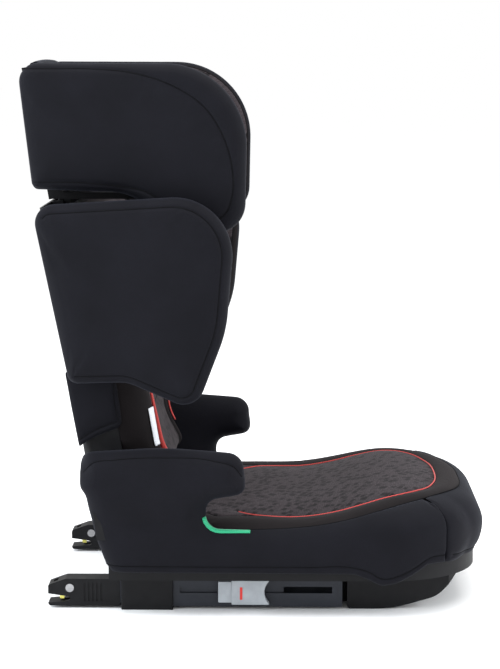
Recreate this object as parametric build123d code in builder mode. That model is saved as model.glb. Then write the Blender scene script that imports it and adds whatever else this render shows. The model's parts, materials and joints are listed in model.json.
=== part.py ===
"""High-back booster seat with sliding ISOFIX arms, a reclining backrest and a height-adjustable headrest.

Millimetres. +Z is up, the child faces -Y, and the child's left is on +X.
The origin is on the floor, under the middle of the seat's bounding box.
Pieces that come in pairs are modelled on the left and mirrored to the right.
"""

import os
from math import cos, radians, sin

from build123d import *

# Base and its cover
BASE_HALF_WIDTH = 207  # outside of the cover, below the armrests
BASE_REAR = 208
BASE_FRONT = -279
FRONT_CORNER_R = 130  # front corners, seen from above
REAR_CORNER_R = 24
COVER_THICKNESS = 14  # fabric and foam on the base's sides
COVER_GAP = 3  # between the plastic base and the cover around it
COVER_INSIDE = BASE_HALF_WIDTH - COVER_THICKNESS
SIDE_SEAM_Y = -222  # where the side covers meet the front panel
TUB_FLOOR, TUB_RIM = 44, 96
TUB_REAR = 176
WALL = 3
BODY_HALF_WIDTH = 116  # lower body, between the two rails
BODY_REAR = 164
FOOT_HALF_WIDTH = 150  # front foot, ahead of the rails
FOOT_REAR = -106
FOOT_SLOPE = 0.9  # how far the foot's nose runs forward for each millimetre up
FOAM_REAR = 138
FOAM_POCKET, FOAM_RIB = 96, 16
FOAM_POCKETS_Y = -44  # middle of the foam's grid of pockets
FOAM_POCKET_TOP = 80
CUSHION_HALF_WIDTH = 168  # between the armrests
CUSHION_REAR = 102
SOFT_GAP = 0.3  # soft pieces keep clear of what they rest on

# Armrests
ARM_IN, ARM_OUT = 172, 216
ARM_CORE_IN, ARM_CORE_OUT = 183, 206
ARM_FRONT, NOTCH_REAR = 20, 61
NOTCH_LOW, NOTCH_HIGH = 112, 149  # the lap belt passes between these heights
NOTCH_R = 18

# ISOFIX arms: two attachments 280 mm apart, as the standard sets
ISOFIX_X = 140
ANCHOR_R = 3.1  # seat of the car's 6 mm anchor bar
ANCHOR_Y, ANCHOR_Z = 229, 11.5
CONNECTOR = (ISOFIX_X - 12.5, ISOFIX_X + 12.5)
CONNECTOR_FRONT, CONNECTOR_REAR = 166, 252
CONNECTOR_LOW, CONNECTOR_HIGH = 3, 36
PIVOT_Y, PIVOT_Z, PIVOT_R = 226, 25, 3
HOOK_SLOT = (ISOFIX_X - 5, ISOFIX_X + 5)
HOOK_SIDE_GAP = 0.7
RAIL = (ISOFIX_X - 15, ISOFIX_X + 15)
RAIL_WALL = 2.2
RAIL_LOW, RAIL_HIGH = 3.5, 38
RAIL_FRONT, RAIL_REAR = -100, 102
SLOT_LOW, SLOT_HIGH = 20, 28
ARM_HALF = 12  # the arm's half width
ARM_LOW, ARM_HIGH = 6, 35.5
SCREW_R = 2
SCREW_HOLE_R = 2.1
RAIL_SCREW_Y = (-80, 60)
ADJUSTER = (155.4, 166.5)
ADJUSTER_LOW, ADJUSTER_HIGH = 8.5, 38.5
ADJUSTER_FRONT, ADJUSTER_REAR = -13, 32
BUTTON_REAR = 48
BUTTON_GAP = 0.3

# Backrest, in its own leaning plane: up the back is v and forward is w
BACK_ANGLE = 9.6
BACK_FOOT = 176
BACK_LOW, BACK_HIGH = 128, 486
BACK_HALF_WIDTH = 150
BACK_DEPTH = 46
PANEL_THICKNESS = 4
PAD_FRONT = 86
HINGE_Y, HINGE_Z = 160, 112
HINGE_BAR_R = 5
HINGE_BORE_R = 5.08
WING_FLARE = 6  # degrees by which the wings open towards the front
TORSO_WING_REAR_X, TORSO_WING_REAR_Y = 155, 219
TORSO_WING_THICKNESS = 36
LOWER_COVER_THICKNESS = 8

# Headrest, in the backrest's plane
HEAD_LOW, HEAD_HIGH = 505, 650
HEAD_HALF_WIDTH = 104
HEAD_REAR, HEAD_FRONT = 4, 30
HEAD_PAD_FRONT = 75
HEAD_WING_REAR_X, HEAD_WING_REAR_Y = 106, 264
HEAD_WING_THICKNESS = 34
WINDOW_HALF_WIDTH = 38
SLIDER_HALF_WIDTH = 45
SLIDER = (20, 26)
LOCK_BAR_R = 3
LOCK_BAR_V, LOCK_BAR_W = 262, 22
LOCK_TRAVEL = 6
HANDLE_TRAVEL = 8
ROD_X, ROD_W, ROD_R = 30, 12, 2
RACK = (62, 74)
RACK_PITCH = 17

lean = radians(BACK_ANGLE)
BACK = Plane(origin=(0, BACK_FOOT, 0), x_dir=(1, 0, 0), z_dir=(0, -cos(lean), sin(lean)))
UP_THE_BACK = Axis((0, BACK_FOOT, 0), (0, sin(lean), cos(lean)))
FORWARD = Axis((0, BACK_FOOT, 0), (0, -cos(lean), sin(lean)))

os.makedirs("parts", exist_ok=True)


def save(part, name):
    """Labels a finished piece and writes it as its own STEP file."""
    part.label = name
    export_step(part, f"parts/{name}.step")


def save_pair(part, name):
    """Writes a left-hand piece and its mirror image."""
    save(part, f"{name}_left")
    save(mirror(part, about=Plane.YZ), f"{name}_right")


def outline(corners):
    """A face inside a closed outline of (across, up, corner radius) triples."""
    with BuildLine() as edge:
        FilletPolyline(*[(a, b) for a, b, _ in corners], radius=[r for _, _, r in corners], close=True)
    make_face(edge.edges())


def block(x, y, z, mode=Mode.ADD):
    """A box between two limits on each axis of the part's plane."""
    with Locations(((x[0] + x[1]) / 2, (y[0] + y[1]) / 2, (z[0] + z[1]) / 2)):
        Box(x[1] - x[0], y[1] - y[0], z[1] - z[0], mode=mode)


def both(low, high):
    """A pair of limits and its mirror image."""
    return (low, high), (-high, -low)


def across(x):
    """The upright plane that faces left at a distance from the middle: its axes run back and up."""
    return Plane.YZ.offset(x)


def back_side(x):
    """As across(), but lying along the backrest: its axes run up the back and forward."""
    return Plane(origin=(x, BACK_FOOT, 0), x_dir=UP_THE_BACK.direction, z_dir=(1, 0, 0))


def base_plan(inset):
    """The base seen from above, drawn in by a distance."""
    side = BASE_HALF_WIDTH - inset
    rear, rear_r = BASE_REAR - inset, max(REAR_CORNER_R - inset, 6)
    front, front_r = BASE_FRONT + inset, FRONT_CORNER_R - inset
    outline([(side, rear, rear_r), (-side, rear, rear_r), (-side, front, front_r), (side, front, front_r)])


def tub_plan(inset):
    """The plastic base seen from above, cut short behind to make room for the backrest."""
    base_plan(COVER_THICKNESS + COVER_GAP + inset)
    with Locations((0, TUB_REAR - inset + BASE_REAR / 2)):
        Rectangle(2 * BASE_HALF_WIDTH, BASE_REAR, mode=Mode.SUBTRACT)


def wing_plane(rear_x, rear_y, out=0):
    """A left wing's inner face, or a plane further out: its axes run back and up, its normal outwards."""
    flare = radians(WING_FLARE)
    rearward = Vector(-sin(flare), cos(flare), 0)
    outward = Vector(cos(flare), sin(flare), 0)
    start = Vector(rear_x, rear_y, 0) - rearward * rear_y + outward * out
    return Plane(origin=start, x_dir=rearward, z_dir=outward)


# ------------------------------------------------------------------ plastic base


def foot(inset, top):
    """The front foot's volume: flat where it stands, with a nose that rises to the front."""
    with BuildPart() as volume:
        with BuildSketch(across(-FOOT_HALF_WIDTH + inset)):
            outline([
                (FOOT_REAR, top, 0),
                (FOOT_REAR, 0, 4),
                (-158, 0, 150),
                (-214, 16, 40),
                (-214 - FOOT_SLOPE * (top - 16), top, 0),
            ])
            offset(amount=-inset, mode=Mode.REPLACE)
        extrude(amount=2 * (FOOT_HALF_WIDTH - inset))
        with BuildSketch(Plane.XY):
            tub_plan(6 + inset)
        extrude(amount=top, mode=Mode.INTERSECT)
    return volume.part


foot_hollow = foot(WALL, TUB_FLOOR + 20)
body_inside = [
    (WALL - BODY_HALF_WIDTH, BODY_HALF_WIDTH - WALL),
    (WALL - 140, BODY_REAR - WALL),
    (WALL, TUB_RIM),
]

with BuildPart() as underbody:
    block((-BODY_HALF_WIDTH, BODY_HALF_WIDTH), (-140, BODY_REAR), (0, TUB_FLOOR))
    add(foot(0, TUB_FLOOR))
    block(*body_inside, Mode.SUBTRACT)
    add(foot_hollow, mode=Mode.SUBTRACT)
save(underbody.part, "base_underbody")

with BuildPart() as base_shell:
    with BuildSketch(Plane.XY.offset(TUB_FLOOR)):
        tub_plan(0)
    extrude(amount=TUB_RIM - TUB_FLOOR)
    with BuildSketch(Plane.XY.offset(TUB_FLOOR + WALL)):
        tub_plan(WALL)
    extrude(amount=TUB_RIM, mode=Mode.SUBTRACT)
    block(*body_inside, Mode.SUBTRACT)
    add(foot_hollow, mode=Mode.SUBTRACT)
    # Pads under the tub's floor carry the rails.
    for pad_x in both(ISOFIX_X - 10, ISOFIX_X + 10):
        for y in RAIL_SCREW_Y:
            block(pad_x, (y - 10, y + 10), (RAIL_HIGH, TUB_FLOOR + 1))
    with Locations(*[(side * ISOFIX_X, y, TUB_FLOOR) for side in (-1, 1) for y in RAIL_SCREW_Y]):
        Cylinder(SCREW_HOLE_R, 20, mode=Mode.SUBTRACT)
    # Pedestals carry the hinge bar on both sides of each ear.
    for x in (-150, -104, 98, 144):
        with BuildSketch(across(x)):
            outline([(142, TUB_FLOOR + 1, 0), (174.5, TUB_FLOOR + 1, 0), (172, 124, 9), (148, 124, 9)])
        extrude(amount=6)
    with BuildSketch(across(-BACK_HALF_WIDTH - 1)):
        with Locations((HINGE_Y, HINGE_Z)):
            Circle(HINGE_BAR_R)
    extrude(amount=2 * BACK_HALF_WIDTH + 2, mode=Mode.SUBTRACT)
save(base_shell.part, "base_shell")

with BuildPart() as hinge_bar:
    with BuildSketch(across(-BACK_HALF_WIDTH - 4)):
        with Locations((HINGE_Y, HINGE_Z)):
            Circle(HINGE_BAR_R)
    extrude(amount=2 * BACK_HALF_WIDTH + 8)
    chamfer(hinge_bar.edges().filter_by(GeomType.CIRCLE), 0.8)
save(hinge_bar.part, "backrest_hinge_bar")

with BuildPart() as base_foam:
    with BuildSketch(Plane.XY.offset(TUB_FLOOR + WALL + 4)):
        tub_plan(WALL + 0.5)
    extrude(amount=TUB_RIM - TUB_FLOOR - WALL - 4.5)
    filling = BODY_HALF_WIDTH - WALL - 1
    block((-filling, filling), (-136, FOAM_REAR), (WALL + 1, TUB_FLOOR + WALL + 5))
    block((-BASE_HALF_WIDTH, BASE_HALF_WIDTH), (FOAM_REAR, BASE_REAR), (0, TUB_RIM), Mode.SUBTRACT)
    # Pockets from below leave a grid of foam ribs under a solid top.
    with Locations((0, FOAM_POCKETS_Y, 0)):
        with GridLocations(FOAM_POCKET + FOAM_RIB, FOAM_POCKET + FOAM_RIB, 3, 3):
            Box(FOAM_POCKET, FOAM_POCKET, 2 * FOAM_POCKET_TOP, mode=Mode.SUBTRACT)
save(base_foam.part, "base_foam")

# ------------------------------------------------------------------ seat cushion and base cover

CUSHION_PROFILE = [
    (CUSHION_REAR, TUB_RIM + SOFT_GAP, 4),
    (CUSHION_REAR, 114, 8),
    (-50, 110, 160),
    (-178, 138, 60),
    (-262, 122, 24),
    (-266, TUB_RIM + SOFT_GAP, 0),
]

with BuildPart() as seat_cushion:
    with BuildSketch(across(-COVER_INSIDE)):
        outline(CUSHION_PROFILE)
    extrude(amount=2 * COVER_INSIDE)
    with BuildSketch(Plane.XY.offset(TUB_RIM - 10)):
        base_plan(COVER_THICKNESS + SOFT_GAP)
    extrude(amount=80, mode=Mode.INTERSECT)
    # Beside the armrests the cushion is narrower.
    for armrest in both(CUSHION_HALF_WIDTH, BASE_HALF_WIDTH):
        block(armrest, (NOTCH_REAR, BASE_REAR), (TUB_RIM - 10, 160), Mode.SUBTRACT)
save(seat_cushion.part, "seat_cushion")

with BuildPart() as front_panel:
    with BuildSketch(Plane.XY.offset(54)):
        base_plan(0)
        with Locations((0, SIDE_SEAM_Y - SOFT_GAP)):
            Rectangle(
                2 * BASE_HALF_WIDTH,
                2 * BASE_HALF_WIDTH + BASE_REAR,
                align=(Align.CENTER, Align.MIN),
                mode=Mode.SUBTRACT,
            )
    extrude(amount=66)
    top_edges = front_panel.faces().sort_by(Axis.Z)[-1].edges()
    fillet(top_edges.sort_by(Axis.Y)[:-1], 14)
    with BuildSketch(Plane.XY.offset(50)):
        base_plan(COVER_THICKNESS)
    extrude(amount=80, mode=Mode.SUBTRACT)
save(front_panel.part, "front_panel")

ARMREST = [
    (200, TUB_RIM + 1, 0),
    (202, 148, 10),
    (208, 160, 10),
    (208, 197, 16),
    (110, 203, 400),
    (ARM_FRONT, 197, 20),
    (ARM_FRONT - 3, NOTCH_HIGH + 1, 11),
    (NOTCH_REAR, NOTCH_HIGH, 14),
    (NOTCH_REAR, TUB_RIM + 1, 0),
]
ARMREST_CORE = [
    (188, TUB_RIM, 0),
    (196, 160, 8),
    (197, 186, 8),
    (110, 192, 300),
    (31, 186, 10),
    (28, 160, 7),
    (72, 159, 16),
    (74, TUB_RIM, 0),
]

with BuildPart() as armrest_core:
    with BuildSketch(across(ARM_CORE_IN)):
        outline(ARMREST_CORE)
    extrude(amount=ARM_CORE_OUT - ARM_CORE_IN)
    # A tongue beside the tub holds the armrest upright.
    tongue = (BASE_HALF_WIDTH - COVER_THICKNESS - COVER_GAP, COVER_INSIDE - SOFT_GAP)
    block(tongue, (84, 170), (60, TUB_RIM + 1))
save_pair(armrest_core.part, "armrest_core")

with BuildPart() as cover_hollow:
    with BuildSketch(across(0)):
        outline([
            (TUB_REAR + 0.5, 20, 0),
            (TUB_REAR + 0.5, 66, 20),
            (188, 125, 60),
            (190, 200, 0),
            (BASE_FRONT, 200, 0),
            (BASE_FRONT, 20, 0),
        ])
    extrude(amount=BASE_HALF_WIDTH)
    with BuildSketch(Plane.XY):
        base_plan(COVER_THICKNESS)
    extrude(amount=200, mode=Mode.INTERSECT)

with BuildPart() as armrest_padding:
    with BuildSketch(across(ARM_IN)):
        outline(ARMREST)
    extrude(amount=ARM_OUT - ARM_IN)
    fillet(armrest_padding.faces().sort_by(Axis.X)[-1].edges(), 8)
    fillet(armrest_padding.faces().sort_by(Axis.X)[0].edges().sort_by(Axis.Z)[1:], 8)

with BuildPart() as side_cover:
    with BuildSketch(across(0)):
        outline([
            (180, 58, 12),
            (198, 130, 60),
            (202, 160, 0),
            (NOTCH_REAR + 8, 160, 0),
            (NOTCH_REAR, NOTCH_LOW, NOTCH_R),
            (-60, 110, 200),
            (-185, 141, 60),
            (SIDE_SEAM_Y, 141, 0),
            (SIDE_SEAM_Y, 68, 0),
            (-205, 66, 20),
            (-145, 40, 14),
            (-112, 62, 20),
        ])
    extrude(amount=BASE_HALF_WIDTH)
    with BuildSketch(Plane.XY):
        base_plan(0)
    extrude(amount=200, mode=Mode.INTERSECT)
    add(cover_hollow.part, mode=Mode.SUBTRACT)
    block((-1, CUSHION_HALF_WIDTH - 2), (BASE_FRONT, BASE_REAR), (0, 200), Mode.SUBTRACT)
    add(armrest_padding.part)
    with BuildSketch(across(ARM_CORE_IN - SOFT_GAP)):
        outline(ARMREST_CORE)
        offset(amount=SOFT_GAP)
    extrude(amount=ARM_CORE_OUT - ARM_CORE_IN + 2 * SOFT_GAP, mode=Mode.SUBTRACT)
save_pair(side_cover.part, "side_cover")

# A bright strip in the notch's seam shows where the lap belt goes.
with BuildPart() as belt_marker:
    with BuildSketch(across(COVER_INSIDE + 2)):
        with BuildLine():
            strip = FilletPolyline(
                (NOTCH_REAR - 2, 131),
                (NOTCH_REAR - 2.6, NOTCH_LOW + 2),
                (8, NOTCH_LOW + 1.6),
                radius=NOTCH_R - 2,
            )
        trace(strip, line_width=3)
    extrude(amount=COVER_THICKNESS)
save_pair(belt_marker.part, "lap_belt_marker")

# ------------------------------------------------------------------ ISOFIX rails, fixed to the base

with BuildPart() as rail:
    block(RAIL, (RAIL_FRONT, RAIL_REAR), (RAIL_LOW, RAIL_HIGH))
    inside = (RAIL[0] + RAIL_WALL, RAIL[1] - RAIL_WALL)
    block(inside, (RAIL_FRONT, RAIL_REAR), (RAIL_LOW + 1.8, RAIL_HIGH - 1.8), Mode.SUBTRACT)
    block((inside[1] - 1, RAIL[1]), (-88, 94), (SLOT_LOW, SLOT_HIGH), Mode.SUBTRACT)
    with Locations(*[(ISOFIX_X, y, RAIL_HIGH) for y in RAIL_SCREW_Y]):
        Cylinder(SCREW_HOLE_R, 8, mode=Mode.SUBTRACT)
save_pair(rail.part, "isofix_rail")

with BuildPart() as rail_bracket:
    block((BODY_HALF_WIDTH + 5, 159), (RAIL_REAR, BODY_REAR), (0, TUB_FLOOR))
    fillet(rail_bracket.edges().filter_by(Axis.Z), 2)
    block((ISOFIX_X - 13.3, ISOFIX_X + 13.3), (RAIL_REAR, BODY_REAR), (2.2, 36.8), Mode.SUBTRACT)
save_pair(rail_bracket.part, "rail_bracket")

with BuildPart() as rail_screws:
    for x in (-ISOFIX_X, ISOFIX_X):
        for y in RAIL_SCREW_Y:
            with Locations((x, y, TUB_FLOOR + WALL)):
                Cylinder(5, 3, align=(Align.CENTER, Align.CENTER, Align.MIN))
                Cylinder(SCREW_R, 10.5, align=(Align.CENTER, Align.CENTER, Align.MAX))
save(rail_screws.part, "rail_screws")

# ------------------------------------------------------------------ sliding ISOFIX arms

SPIGOT = (ISOFIX_X - ARM_HALF + 2.1, ISOFIX_X + ARM_HALF - 2.1)

with BuildPart() as isofix_arm:
    block((ISOFIX_X - ARM_HALF, ISOFIX_X + ARM_HALF), (-30, CONNECTOR_FRONT), (ARM_LOW, ARM_HIGH))
    hollow = (ARM_LOW + 2, ARM_HIGH - 2)
    block((SPIGOT[0] - 0.1, SPIGOT[1] + 0.1), (-30, CONNECTOR_FRONT), hollow, Mode.SUBTRACT)
    # The stem reaches out through the rail's slot to the adjuster.
    block((SPIGOT[1] + 0.1, ADJUSTER[0]), (-4, 30), (SLOT_LOW + 0.5, SLOT_HIGH - 0.5))
save_pair(isofix_arm.part, "isofix_arm")

with BuildPart() as connector:
    with BuildSketch(across(CONNECTOR[0])):
        outline([
            (CONNECTOR_FRONT, CONNECTOR_LOW, 0),
            (CONNECTOR_FRONT, CONNECTOR_HIGH, 2),
            (231, CONNECTOR_HIGH, 8),
            (CONNECTOR_REAR, 28.5, 3),
            (CONNECTOR_REAR, CONNECTOR_LOW, 4),
        ])
        with Locations((ANCHOR_Y, ANCHOR_Z)):
            Circle(ANCHOR_R, mode=Mode.SUBTRACT)
        # The mouth flares towards the car's anchor bar.
        with BuildLine():
            Polyline(
                (ANCHOR_Y, ANCHOR_Z - ANCHOR_R),
                (CONNECTOR_REAR + 1, 6.5),
                (CONNECTOR_REAR + 1, 18),
                (ANCHOR_Y, ANCHOR_Z + ANCHOR_R),
                close=True,
            )
        make_face(mode=Mode.SUBTRACT)
        with Locations((PIVOT_Y, PIVOT_Z)):
            Circle(PIVOT_R + 0.05, mode=Mode.SUBTRACT)
    extrude(amount=CONNECTOR[1] - CONNECTOR[0])
    with BuildSketch(across(HOOK_SLOT[0])):
        with Locations((PIVOT_Y, PIVOT_Z)):
            Circle(21)
        with Locations((233, 19)):
            Rectangle(38, 27, mode=Mode.INTERSECT)
    extrude(amount=HOOK_SLOT[1] - HOOK_SLOT[0], mode=Mode.SUBTRACT)
    block(SPIGOT, (146, CONNECTOR_FRONT + 1), (ARM_LOW + 2.1, ARM_HIGH - 2.1))
    # Grip ribs, cut into both sides.
    for side in (CONNECTOR[0], CONNECTOR[1]):
        for y in (188, 193, 198, 203, 208):
            block((side - 0.8, side + 0.8), (y - 1.2, y + 1.2), (9, 31), Mode.SUBTRACT)
save_pair(connector.part, "isofix_connector")

with BuildPart() as hook_rivet:
    with BuildSketch(across(CONNECTOR[0] - 1.2)):
        with Locations((PIVOT_Y, PIVOT_Z)):
            Circle(PIVOT_R)
    extrude(amount=CONNECTOR[1] - CONNECTOR[0] + 2.4)
    for head in (CONNECTOR[0] - 1.2, CONNECTOR[1]):
        with BuildSketch(across(head)):
            with Locations((PIVOT_Y, PIVOT_Z)):
                Circle(PIVOT_R + 2)
        extrude(amount=1.2)
save_pair(hook_rivet.part, "hook_rivet")

with BuildPart() as latch_hook:
    with BuildSketch(across(HOOK_SLOT[0] + HOOK_SIDE_GAP)):
        outline(
            [(221, 23, 2), (228, 30.5, 4), (238.5, 23, 5), (239, 9.5, 2), (233.5, 9.5, 0.5), (233, 16.5, 3)]
        )
        with Locations((PIVOT_Y, PIVOT_Z)):
            Circle(6)
            Circle(PIVOT_R + 0.06, mode=Mode.SUBTRACT)
    extrude(amount=HOOK_SLOT[1] - HOOK_SLOT[0] - 2 * HOOK_SIDE_GAP)
save_pair(latch_hook.part, "isofix_latch_hook")

BUTTON_X = (ADJUSTER[0] + 2, ADJUSTER[1] - 1.8)
BUTTON_Z = (ADJUSTER_LOW + 2.4, ADJUSTER_HIGH - 2.4)
BUTTON_FRONT = 22
POCKET_FRONT = 14

with BuildPart() as adjuster_body:
    with BuildSketch(across(ADJUSTER[0])):
        outline([
            (ADJUSTER_FRONT, ADJUSTER_LOW, 1.5),
            (ADJUSTER_REAR, ADJUSTER_LOW, 1),
            (ADJUSTER_REAR, ADJUSTER_HIGH, 1),
            (ADJUSTER_FRONT, ADJUSTER_HIGH, 1.5),
        ])
        # The front end is scooped out for a finger.
        with Locations((ADJUSTER_FRONT - 14, (ADJUSTER_LOW + ADJUSTER_HIGH) / 2)):
            Circle(20, mode=Mode.SUBTRACT)
    extrude(amount=ADJUSTER[1] - ADJUSTER[0])
    fillet(adjuster_body.faces().sort_by(Axis.X)[-1].edges().filter_by(Axis.Y), 1)
    block(
        (BUTTON_X[0] - BUTTON_GAP, BUTTON_X[1] + BUTTON_GAP),
        (POCKET_FRONT, ADJUSTER_REAR + 1),
        (BUTTON_Z[0] - BUTTON_GAP, BUTTON_Z[1] + BUTTON_GAP),
        Mode.SUBTRACT,
    )
    block((ADJUSTER[1] - 0.8, ADJUSTER[1]), (19, 22), (15, 30), Mode.SUBTRACT)
save_pair(adjuster_body.part, "adjuster_body")

with BuildPart() as lock_indicator:
    block((ADJUSTER[1] - 0.8, ADJUSTER[1] + 0.3), (19, 22), (15, 30))
save_pair(lock_indicator.part, "lock_indicator")

with BuildPart() as release_button:
    block(BUTTON_X, (BUTTON_FRONT, BUTTON_REAR), BUTTON_Z)
    fillet(release_button.faces().sort_by(Axis.Y)[-1].edges(), 1.5)
save_pair(release_button.part, "isofix_release_button")


def coil(length, turns):
    """A compression spring of a length, standing on the XY plane."""
    radius, wire = 2.6, 0.4
    with BuildPart() as spring:
        with BuildLine():
            helix = Helix(pitch=(length - 2 * wire) / turns, height=length - 2 * wire, radius=radius)
        with BuildSketch(Plane(origin=helix @ 0, x_dir=(0, 0, 1), z_dir=helix % 0)):
            Circle(wire)
        sweep(path=helix, is_frenet=True)
    return spring.part


release_coil = coil(BUTTON_FRONT - POCKET_FRONT - 0.4, 4)
spring_seat = (sum(BUTTON_X) / 2, POCKET_FRONT + 0.6, sum(BUTTON_Z) / 2)

with BuildPart() as release_spring:
    with Locations(Plane(origin=spring_seat, x_dir=(1, 0, 0), z_dir=(0, 1, 0))):
        add(release_coil)
save_pair(release_spring.part, "release_spring")

# ------------------------------------------------------------------ backrest

with BuildPart(BACK) as backrest_shell:
    block((-BACK_HALF_WIDTH, BACK_HALF_WIDTH), (BACK_LOW, BACK_HIGH), (0, BACK_DEPTH))
    fillet(backrest_shell.edges().filter_by(UP_THE_BACK).sort_by(FORWARD)[:2], 10)
    inner = BACK_HALF_WIDTH - WALL
    block((-inner, inner), (BACK_LOW + WALL, BACK_HIGH + 1), (WALL, BACK_DEPTH + 1), Mode.SUBTRACT)
    # Ribs keep the headrest's slider straight.
    for rib in both(SLIDER_HALF_WIDTH + 1.6, SLIDER_HALF_WIDTH + 5):
        block(rib, (236, BACK_HIGH), (WALL - 1, 17.5))
    # Posts for the front panel's screws, with the heads sunk behind.
    with Locations(*[(x, v, WALL - 1) for x in (-125, 125) for v in (165, 440)]):
        Cylinder(6, BACK_DEPTH - PANEL_THICKNESS - WALL + 1, align=(Align.CENTER, Align.CENTER, Align.MIN))
        Cylinder(SCREW_HOLE_R, 100, mode=Mode.SUBTRACT)
        Cylinder(4.6, 4, mode=Mode.SUBTRACT)
    # Ears that turn on the hinge bar.
    for ear in both(106, 142):
        with BuildSketch(across(ear[0])):
            outline([(147.5, HINGE_Z, 0), (172.5, HINGE_Z, 0), (191.7, 128.7, 0), (158.2, 134.4, 0)])
            with Locations((HINGE_Y, HINGE_Z)):
                Circle(13)
                Circle(HINGE_BORE_R, mode=Mode.SUBTRACT)
        extrude(amount=ear[1] - ear[0])
save(backrest_shell.part, "backrest_shell")

with BuildPart(BACK) as inner_panel:
    wide = inner - 0.3
    block((-wide, wide), (BACK_LOW + WALL + 0.3, BACK_HIGH), (BACK_DEPTH - PANEL_THICKNESS, BACK_DEPTH))
    with Locations(*[(x, v, BACK_DEPTH) for x in (-125, 125) for v in (165, 440)]):
        Cylinder(SCREW_HOLE_R, 20, mode=Mode.SUBTRACT)
save(inner_panel.part, "backrest_inner_panel")

with BuildPart(BACK) as backrest_screws:
    with Locations(*[(x, v, 0.4) for x in (-125, 125) for v in (165, 440)]):
        Cylinder(4.3, 1.4, align=(Align.CENTER, Align.CENTER, Align.MIN))
        Cylinder(SCREW_R, BACK_DEPTH - 1, align=(Align.CENTER, Align.CENTER, Align.MIN))
save(backrest_screws.part, "backrest_screws")

with BuildPart(BACK) as height_rack:
    for teeth in both(*RACK):
        block(teeth, (244, 448), (WALL, 18))
        for step in range(11):
            with Locations(Location((sum(teeth) / 2, LOCK_BAR_V + step * RACK_PITCH, 17.5), (0, 90, 0))):
                Cylinder(LOCK_BAR_R + 0.4, RACK[1] - RACK[0] + 2, mode=Mode.SUBTRACT)
save(height_rack.part, "height_rack")

with BuildPart(BACK) as backrest_pad:
    block((-148, 148), (BACK_LOW - 2, BACK_HIGH - 8), (BACK_DEPTH + SOFT_GAP, PAD_FRONT))
    fillet(backrest_pad.faces().sort_by(FORWARD)[-1].edges(), 14)
save(backrest_pad.part, "backrest_pad")

with BuildPart(BACK) as backrest_trim:
    for piping in both(108, 114):
        block(piping, (168, 246), (PAD_FRONT + SOFT_GAP, PAD_FRONT + 2.3))
save(backrest_trim.part, "backrest_trim")

with BuildPart(BACK) as care_label:
    block((-132, -118), (180, 228), (PAD_FRONT + SOFT_GAP, PAD_FRONT + 0.9))
save(care_label.part, "care_label")

with BuildPart(BACK) as lower_cover:
    block(
        (BACK_HALF_WIDTH + SOFT_GAP, BACK_HALF_WIDTH + LOWER_COVER_THICKNESS),
        (BACK_LOW - 2, 272),
        (0, BACK_DEPTH),
    )
    fillet(lower_cover.edges().filter_by(UP_THE_BACK).sort_by(Axis.X)[-2:], 5)
save_pair(lower_cover.part, "lower_back_cover")

TORSO_WING = [
    (TORSO_WING_REAR_Y, 276, 12),
    (262, 484, 22),
    (20, 500, 72),
    (34, 340, 150),
    (70, 246, 25),
    (150, 279, 40),
]
TORSO_CORE = [(213, 292, 6), (248, 468, 10), (44, 482, 60), (56, 342, 120), (80, 270, 15), (150, 294, 30)]
HEAD_WING = [(264, 500, 6), (281, 648, 14), (8, 647, 115), (12, 448, 42), (88, 452, 40), (150, 497, 60)]
HEAD_CORE = [(254, 514, 6), (264, 632, 8), (36, 632, 92), (32, 474, 20), (84, 478, 20), (148, 514, 40)]


def wing(rear_x, rear_y, shape, out, thickness, gap=0):
    """A slab in a wing's plane, grown by a gap where it is to be cut from another piece."""
    with BuildPart() as slab:
        with BuildSketch(wing_plane(rear_x, rear_y, out - gap)):
            outline(shape)
            offset(amount=gap)
        extrude(amount=thickness + 2 * gap)
    return slab.part


def padded_wing(rear_x, rear_y, shape, thickness, core, rounding):
    """A foam wing in its cover, hollowed for its plastic core."""
    with BuildPart() as padding:
        add(wing(rear_x, rear_y, shape, 0, thickness))
        outward = Axis((0, 0, 0), wing_plane(rear_x, rear_y).z_dir)
        for face in (padding.faces().sort_by(outward)[0], padding.faces().sort_by(outward)[-1]):
            fillet(face.edges(), rounding)
        add(core, mode=Mode.SUBTRACT)
    return padding.part


def wing_core(rear_x, rear_y, shape, flange, gap=0):
    """The plastic plate inside a wing, with the flange that joins it to the shell beside it."""
    with BuildPart() as core:
        add(wing(rear_x, rear_y, shape, 14, 6, gap))
        with Locations(BACK):
            block(*[(low - gap, high + gap) for low, high in flange])
    return core.part


torso_place = (TORSO_WING_REAR_X, TORSO_WING_REAR_Y)
torso_flange = [(BACK_HALF_WIDTH, 170), (310, 460), (6, 12)]
save_pair(wing_core(*torso_place, TORSO_CORE, torso_flange), "torso_wing_core")
torso_pocket = wing_core(*torso_place, TORSO_CORE, torso_flange, SOFT_GAP)
save_pair(padded_wing(*torso_place, TORSO_WING, TORSO_WING_THICKNESS, torso_pocket, 12), "torso_wing")

# ------------------------------------------------------------------ headrest

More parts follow.
